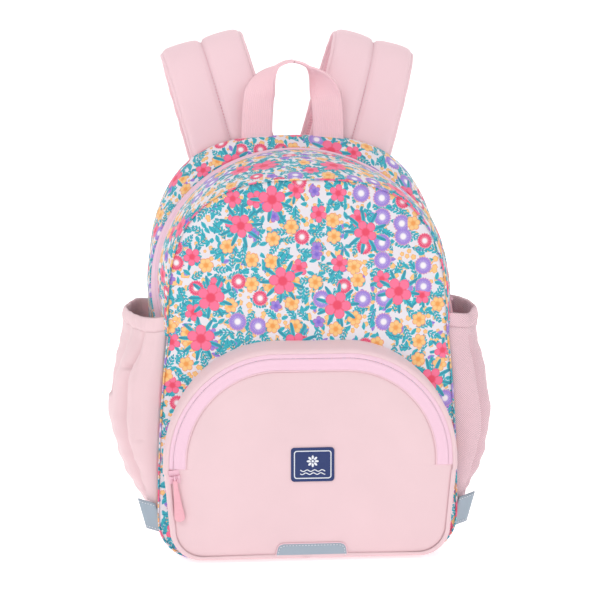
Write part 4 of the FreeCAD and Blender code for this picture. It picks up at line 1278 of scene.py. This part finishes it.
def make_back_webbing():
    """Webbing from each wing through its ladder lock, with a free tail, and the cloth wings."""
    for side, sign in (("left", -1), ("right", 1)):
        low = Vector((sign * 96, 62.5, 34)) * MM
        high = Vector((sign * 70, 112, 130)) * MM
        lead = [low, low + Vector((sign * -2.5, 4, 13)) * MM, Vector((sign * 84, 80, 74)) * MM,
                Vector((sign * 75, 101, 112)) * MM, high]
        path = spread(curve_through(lead, 16), 60)
        strip = ribbon(f"lower_webbing_cloth_{side}", path, 12.5 * MM, 1.5 * MM, "webbing")
        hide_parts(f"lower_webbing_{side}")
        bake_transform(strip)
        tail = [Vector((sign * 70, 110, 131)) * MM, Vector((sign * 70, 116.5, 127)) * MM,
                Vector((sign * 70.5, 119, 116)) * MM, Vector((sign * 71.5, 118, 96)) * MM,
                Vector((sign * 71, 121, 72)) * MM, Vector((sign * 73, 119, 58)) * MM]
        tail_path = spread(curve_through(tail, 12), 50)
        loose = ribbon(f"webbing_tail_{side}", tail_path, 12.5 * MM, 1.5 * MM, "webbing")
        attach(loose, f"{side}_strap")
        hem = ribbon(f"webbing_hem_{side}", [point + Y * 1.6 * MM for point in tail_path[-9:]], 12.5 * MM,
            1.5 * MM,
                     "webbing")
        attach(hem, f"{side}_strap")
        loop_path = [Vector((sign * 70, 109.5, 153)) * MM, Vector((sign * 70, 108.6, 147)) * MM,
                     Vector((sign * 70, 110.5, 142.5)) * MM, Vector((sign * 70, 114, 142.5)) * MM,
                     Vector((sign * 70, 116.8, 146)) * MM, Vector((sign * 70, 117.6, 153)) * MM]
        loop = ribbon(f"lock_loop_{side}", spread(curve_through(loop_path, 8), 30), 12.5 * MM, 1.3 * MM,
            "webbing")
        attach(loop, f"{side}_strap")
        wing_rows = []
        for step in range(13):
            share = step / 12
            x = (111.5 + (83 - 111.5) * share) * MM
            top, foot = (68 + (53 - 68) * share) * MM, (22 + (27 - 22) * share) * MM
            puff = 3.2 * MM * math.sin(math.pi * min(share * 1.15, 1)) ** 0.6
            wing_rows.append([Vector((sign * x,
                BACK_Y + 0.8 * MM + puff * math.sin(math.pi * row / 16) ** 0.5,
                                      foot + (top - foot) * row / 16)) for row in range(17)])
        if sign > 0:
            wing_rows = wing_rows[::-1]
        wing = thicken(grid_piece(f"strap_wing_cloth_{side}", wing_rows, "plain"), 1.2 * MM, 0)
        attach(wing, "bag")
        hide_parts(f"strap_wing_{side}")


make_back_webbing()


# ------------------------------------------------------------------ back pads, swelled as filled cloth
def inflate(piece, voxel, pressure, cap):
    """Swells a closed shape as cloth over a filling: its back and rim are held, its face rises by at most cap."""
    remesh = piece.modifiers.new("remesh", "REMESH")
    remesh.mode = "VOXEL"
    remesh.voxel_size = voxel
    graph = bpy.context.evaluated_depsgraph_get()
    piece.data = bpy.data.meshes.new_from_object(piece.evaluated_get(graph))
    piece.modifiers.clear()
    mesh = piece.data
    start = [vertex.co.copy() for vertex in mesh.vertices]
    back = min(point.y for point in start)
    front = max(point.y for point in start)
    held = piece.vertex_groups.new(name="held")
    held.add([number for number, point in enumerate(start) if point.y < back + (front - back) * 0.45], 1.0,
        "REPLACE")
    cloth = piece.modifiers.new("cloth", "CLOTH")
    cloth.settings.vertex_group_mass = "held"
    cloth.settings.use_pressure = True
    cloth.settings.uniform_pressure_force = pressure
    cloth.settings.effector_weights.gravity = 0
    cloth.settings.tension_stiffness = 12
    cloth.settings.bending_stiffness = 0.4
    cloth.settings.quality = 4
    cloth.point_cache.frame_start, cloth.point_cache.frame_end = 1, 20
    for frame_number in range(1, 21):
        bpy.context.scene.frame_set(frame_number)
    graph = bpy.context.evaluated_depsgraph_get()
    swelled = bpy.data.meshes.new_from_object(piece.evaluated_get(graph))
    piece.modifiers.clear()
    for vertex, from_point, to in zip(mesh.vertices, start, swelled.vertices):
        move = to.co - from_point
        if move.length > cap:
            move *= cap / move.length
        vertex.co = from_point + move
    bpy.context.scene.frame_set(1)


def make_pads():
    """The soft pads against the wearer's back and the cloth yoke above them."""
    for node in ("back_pad_left", "back_pad_right", "back_pad_low"):
        source = frame["nodes"][node]
        name = f"{node}_swelled"
        mesh = source.data.copy()
        mesh.name = name
        pad = bpy.data.objects.new(name, mesh)
        bpy.context.scene.collection.objects.link(pad)
        bpy.context.view_layer.update()
        mesh.transform(source.matrix_world)
        inflate(pad, 5 * MM, 4.0, 6 * MM)
        mesh = pad.data
        layer = mesh.uv_layers.new(name="cloth")
        low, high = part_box(node)
        middle = ((low[0] + high[0]) / 2, (low[2] + high[2]) / 2)
        half = ((high[0] - low[0]) / 2, (high[2] - low[2]) / 2)
        for vertex in mesh.vertices:
            lift = min(max((vertex.co.y - BACK_Y) / (7 * MM), 0), 1)
            groove = 0.0
            if half[1] > half[0]:
                for level in (-0.34, 0.34):
                    groove += math.exp(-((vertex.co.z - middle[1] - level * 2 * half[1]) / (2.6 * MM)) ** 2)
            vertex.co.y -= 3.4 * MM * groove * lift
        for loop in mesh.loops:
            place = mesh.vertices[loop.vertex_index].co
            layer.data[loop.index].uv = (place.x, place.z)
        mesh.materials.clear()
        mesh.materials.append(MATERIALS["air_mesh"])
        for polygon in mesh.polygons:
            polygon.use_smooth = True
        smooth_out(pad, 1)
        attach(pad, "bag")
        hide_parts(node)
        corner = min(half) * 0.5
        path = []
        for turn_step in range(64):
            turn = math.tau * turn_step / 64
            x = middle[0] + math.copysign(half[0] - corner, math.cos(turn)) + corner * math.cos(turn)
            z = middle[1] + math.copysign(half[1] - corner, math.sin(turn)) + corner * math.sin(turn)
            path.append(Vector((x, BACK_Y + 0.9 * MM, z)))
        bound = tube_piece(f"{node}_binding", path, 1.6 * MM, "strap", True, 10)
        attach(bound, "bag")
    low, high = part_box("top_yoke")
    rows = []
    for step in range(9):
        z = low[2] - 2 * MM + (high[2] - low[2]) * step / 8
        swell = math.sin(math.pi * step / 8) ** 0.5
        rows.append([Vector((x, BACK_Y + 0.6 * MM + 2.2 * MM * swell + ripple(Vector((x, 0, z)), 18 * MM,
            71) * 0.5 * MM, z))
                     for x in (low[0] + (high[0] - low[0]) * column / 80 for column in range(81))])
    yoke = thicken(grid_piece("yoke_cloth", rows[::-1], "plain"), 1.0 * MM)
    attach(yoke, "bag")
    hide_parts("top_yoke")
    for number, row in enumerate((rows[1], rows[-2])):
        line = stitches(f"yoke_stitches_{number}", [point + Y * 0.3 * MM for point in row], [Y] * 81)
        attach(line, "bag")


# ------------------------------------------------------------------ label, reflectors, sliders and pulls
def rounded_outline(half_x, half_z, corner, steps=8):
    """A rectangle with round corners, as (x, z) pairs anticlockwise."""
    ring = []
    for sign_x, sign_z, first in ((1, -1, -90), (1, 1, 0), (-1, 1, 90), (-1, -1, 180)):
        for step in range(steps + 1):
            turn = math.radians(first + 90 * step / steps)
            ring.append((sign_x * (half_x - corner) + corner * math.cos(turn),
                         sign_z * (half_z - corner) + corner * math.sin(turn)))
    return ring


def flat_shape(name, ring, centre, front, thickness, material, edge=0.25 * MM):
    """A thin plate from a ring of (x, z) pairs, with its face towards the front and a soft edge."""
    points, faces = [], []
    count = len(ring)
    for inset, depth in ((0, thickness), (0, edge), (edge, 0)):
        for x, z in ring:
            length = max(math.hypot(x, z), 1e-9)
            share = 1 - inset / length
            points.append(Vector((centre[0] + x * share, front + depth, centre[1] + z * share)))
    for layer in range(2):
        for column in range(count):
            after = (column + 1) % count
            faces.append((layer * count + column, layer * count + after,
                          (layer + 1) * count + after, (layer + 1) * count + column))
    faces.append(tuple(range(2 * count, 3 * count)))
    return add_object(name, points, faces, [(point.x, point.z) for point in points], material, False)


def make_label():
    """The woven label: a navy plate with a pale border, a daisy and two waves."""
    centre = (0.0, 76.8 * MM)
    face = min(pocket_y(x * MM, z * MM) for x in (-16, 0, 16) for z in (64, 77, 90)) - 1.3 * MM
    pieces = [flat_shape("label_plate", rounded_outline(16.5 * MM, 13 * MM, 2.6 * MM), centre, face,
        2.2 * MM, "navy")]
    ring = [Vector((centre[0] + x, face + 0.05 * MM, centre[1] + z))
            for x, z in rounded_outline(13.9 * MM, 10.4 * MM, 1.9 * MM)]
    pieces.append(tube_piece("label_border", ring, 0.42 * MM, "white", True, 8))
    heart = (centre[0], centre[1] + 2.6 * MM)
    for petal in range(8):
        turn = math.tau * petal / 8
        outline = []
        for step in range(16):
            around = math.tau * step / 16
            x, z = 1.55 * MM * math.cos(around), 0.85 * MM * math.sin(around)
            outline.append((x * math.cos(turn) - z * math.sin(turn),
                x * math.sin(turn) + z * math.cos(turn)))
        place = (heart[0] + 3.0 * MM * math.cos(turn), heart[1] + 3.0 * MM * math.sin(turn))
        pieces.append(flat_shape(f"label_petal_{petal}", outline, place, face - 0.25 * MM, 0.6 * MM,
            "white", 0.1 * MM))
    middle = [(0.95 * MM * math.cos(math.tau * step / 16), 0.95 * MM * math.sin(math.tau * step / 16))
              for step in range(16)]
    pieces.append(flat_shape("label_heart", middle, heart, face - 0.25 * MM, 0.6 * MM, "white", 0.1 * MM))
    for number, drop in enumerate((-4.6, -6.9)):
        wave = [Vector((x * MM, face, centre[1] + (drop + 0.6 * math.sin(x * 1.1 + number)) * MM))
                for x in (-9.5 + 19 * step / 60 for step in range(61))]
        pieces.append(tube_piece(f"label_wave_{number}", wave, 0.38 * MM, "white", False, 8))
    for piece in pieces:
        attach(piece, "pocket_flap")
    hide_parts("label")


def make_reflectors():
    """Grey-blue reflective patches: one at the foot of the pocket and a tab in each lower side seam."""
    rows, low, high = [], 4.6 * MM, 15.2 * MM
    for step in range(13):
        share = step / 12
        z = low + (high - low) * share
        half = (27.6 - 1.8 * share) * MM
        if share > 0.6:
            half -= 4.2 * MM * (1 - math.sqrt(max(1 - ((share - 0.6) / 0.4) ** 2, 0)))
        rows.append([Vector((half * (-1 + 2 * column / 40), 0, z)) for column in range(41)])
    rows = [[Vector((point.x, pocket_y(point.x, point.z) - 1.3 * MM,
        point.z)) for point in row] for row in rows]
    patch = thicken(grid_piece("bottom_reflector_patch", rows, "reflector"), 1.0 * MM)
    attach(patch, "bag")
    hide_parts("bottom_reflector")
    left = [row[0] for row in rows]
    border = left + rows[-1][1:-1] + [row[-1] for row in reversed(rows)]
    edge = tube_piece("bottom_reflector_edge", [point + Y * 0.2 * MM for point in border], 0.5 * MM,
        "piping", False, 8)
    inner = [Vector((point.x * 0.945, point.y - 0.15 * MM,
        low + (point.z - low) * 0.84)) for point in border]
    line = stitches("bottom_reflector_stitches", inner, [-Y] * len(inner), "white_thread", 2.4 * MM,
        1.5 * MM, 0.26 * MM)
    for piece in (edge, line):
        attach(piece, "bag")
    for side, sign in (("left", -1), ("right", 1)):
        low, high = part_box(f"reflective_tab_{side}")
        middle_x, middle_z = (low[0] + high[0]) / 2, (low[2] + high[2]) / 2 - 1 * MM
        rows = []
        for step in range(13):
            share = step / 12
            z = middle_z - 11.5 * MM + 23 * MM * share
            lean = sign * 3.2 * MM * (share - 0.5) * 2
            row = []
            for column in range(13):
                across = -1 + column / 6
                x = middle_x - sign * 0.8 * MM + lean + across * 6.6 * MM
                wrap = 5.0 * MM * ((across * sign + 1) / 2) ** 2
                row.append(Vector((x, low[1] - 0.6 * MM + wrap + 0.5 * MM * math.cos(3 * across),
                    z + sign * across * 1.6 * MM)))
            rows.append(row)
        tab = thicken(grid_piece(f"reflective_tab_patch_{side}", rows, "reflector"), 1.2 * MM)
        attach(tab, "bag")
        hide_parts(f"reflective_tab_{side}")
        for number, row in enumerate((rows[1], rows[-2])):
            line = stitches(f"reflective_tab_stitches_{side}_{number}",
                [point - Y * 0.3 * MM for point in row],
                            [-Y] * 13, "white_thread", 2.3 * MM, 1.4 * MM, 0.28 * MM)
            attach(line, "bag")


make_pads()
make_label()
make_reflectors()


def make_pull(node, joint_name, body):
    """A soft pull: a wire eye on the slider's pin and a tongue that widens towards its round end."""
    joint = next(joint for joint in frame["record"]["behaviour"]["joints"] if joint["name"] == joint_name)
    pin, axis = Vector(joint["pos_m"]), Vector(joint["axis"]).normalized()
    low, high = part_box(node)
    along = Vector([(one + two) / 2 for one, two in zip(low, high)]) - pin
    along = (along - axis * along.dot(axis)).normalized()
    out = axis.cross(along)
    length, sides = 34.5 * MM, 24
    points, faces, steps = [], [], 40
    for step in range(steps + 1):
        share = step / steps
        place = (0.06 + 0.94 * share) * length
        half = (1.7 + 2.3 * min(max((share - 0.12) / 0.75, 0), 1) ** 1.3) * MM
        for end in ((1 - share) / 0.1, share / 0.06):
            half *= math.sqrt(max(1 - max(1 - end, 0) ** 2, 0.0001))
        thick = 1.25 * MM * min(1, 0.35 + half / (2.2 * MM))
        ridge = 0.16 * MM * math.sin(share * 70) if 0.45 < share < 0.85 else 0.0
        for side in range(sides):
            turn = math.tau * side / sides
            across = math.copysign(abs(math.cos(turn)) ** 0.6, math.cos(turn)) * half
            rise = math.copysign(abs(math.sin(turn)) ** 0.6, math.sin(turn)) * (thick + ridge)
            points.append(pin + along * place + axis * across + out * rise)
    for step in range(steps):
        for side in range(sides):
            after = (side + 1) % sides
            faces.append((step * sides + side, step * sides + after,
                          (step + 1) * sides + after, (step + 1) * sides + side))
    faces.append(tuple(reversed(range(sides))))
    faces.append(tuple(range(steps * sides, (steps + 1) * sides)))
    tongue = add_object(f"{node}_tongue", points, faces, [(point.x, point.z) for point in points], "pull")
    ring = [pin + along * (0.7 + 1.7 * math.cos(turn)) * MM + out * 1.7 * MM * math.sin(turn)
            for turn in (math.tau * step / 28 for step in range(28))]
    eye = tube_piece(f"{node}_eye", ring, 0.62 * MM, "metal", True, 10, 1.0, [axis] * 28)
    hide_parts(node)
    for piece in (tongue, eye):
        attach(piece, body)


def dress(node, material, bevel):
    """A firm CAD piece kept as it is, with its own finish and softened edges."""
    piece = frame["nodes"][node]
    piece.data.materials.clear()
    piece.data.materials.append(MATERIALS[material])
    edge = piece.modifiers.new("edge", "BEVEL")
    edge.width, edge.segments, edge.limit_method = bevel, 3, "ANGLE"


make_pull("main_pull", "main_pull_swing", "main_zip_pull")
make_pull("pocket_pull", "pocket_pull_swing", "pocket_zip_pull")
for zip_slider in ("main_slider", "pocket_slider"):
    dress(zip_slider, "metal", 0.35 * MM)
for lock in ("ladder_lock_left", "ladder_lock_right"):
    dress(lock, "plastic", 0.8 * MM)
dress("back_board", "board", 0.6 * MM)


# ------------------------------------------------------------------ a last update of the scene
bpy.context.view_layer.update()
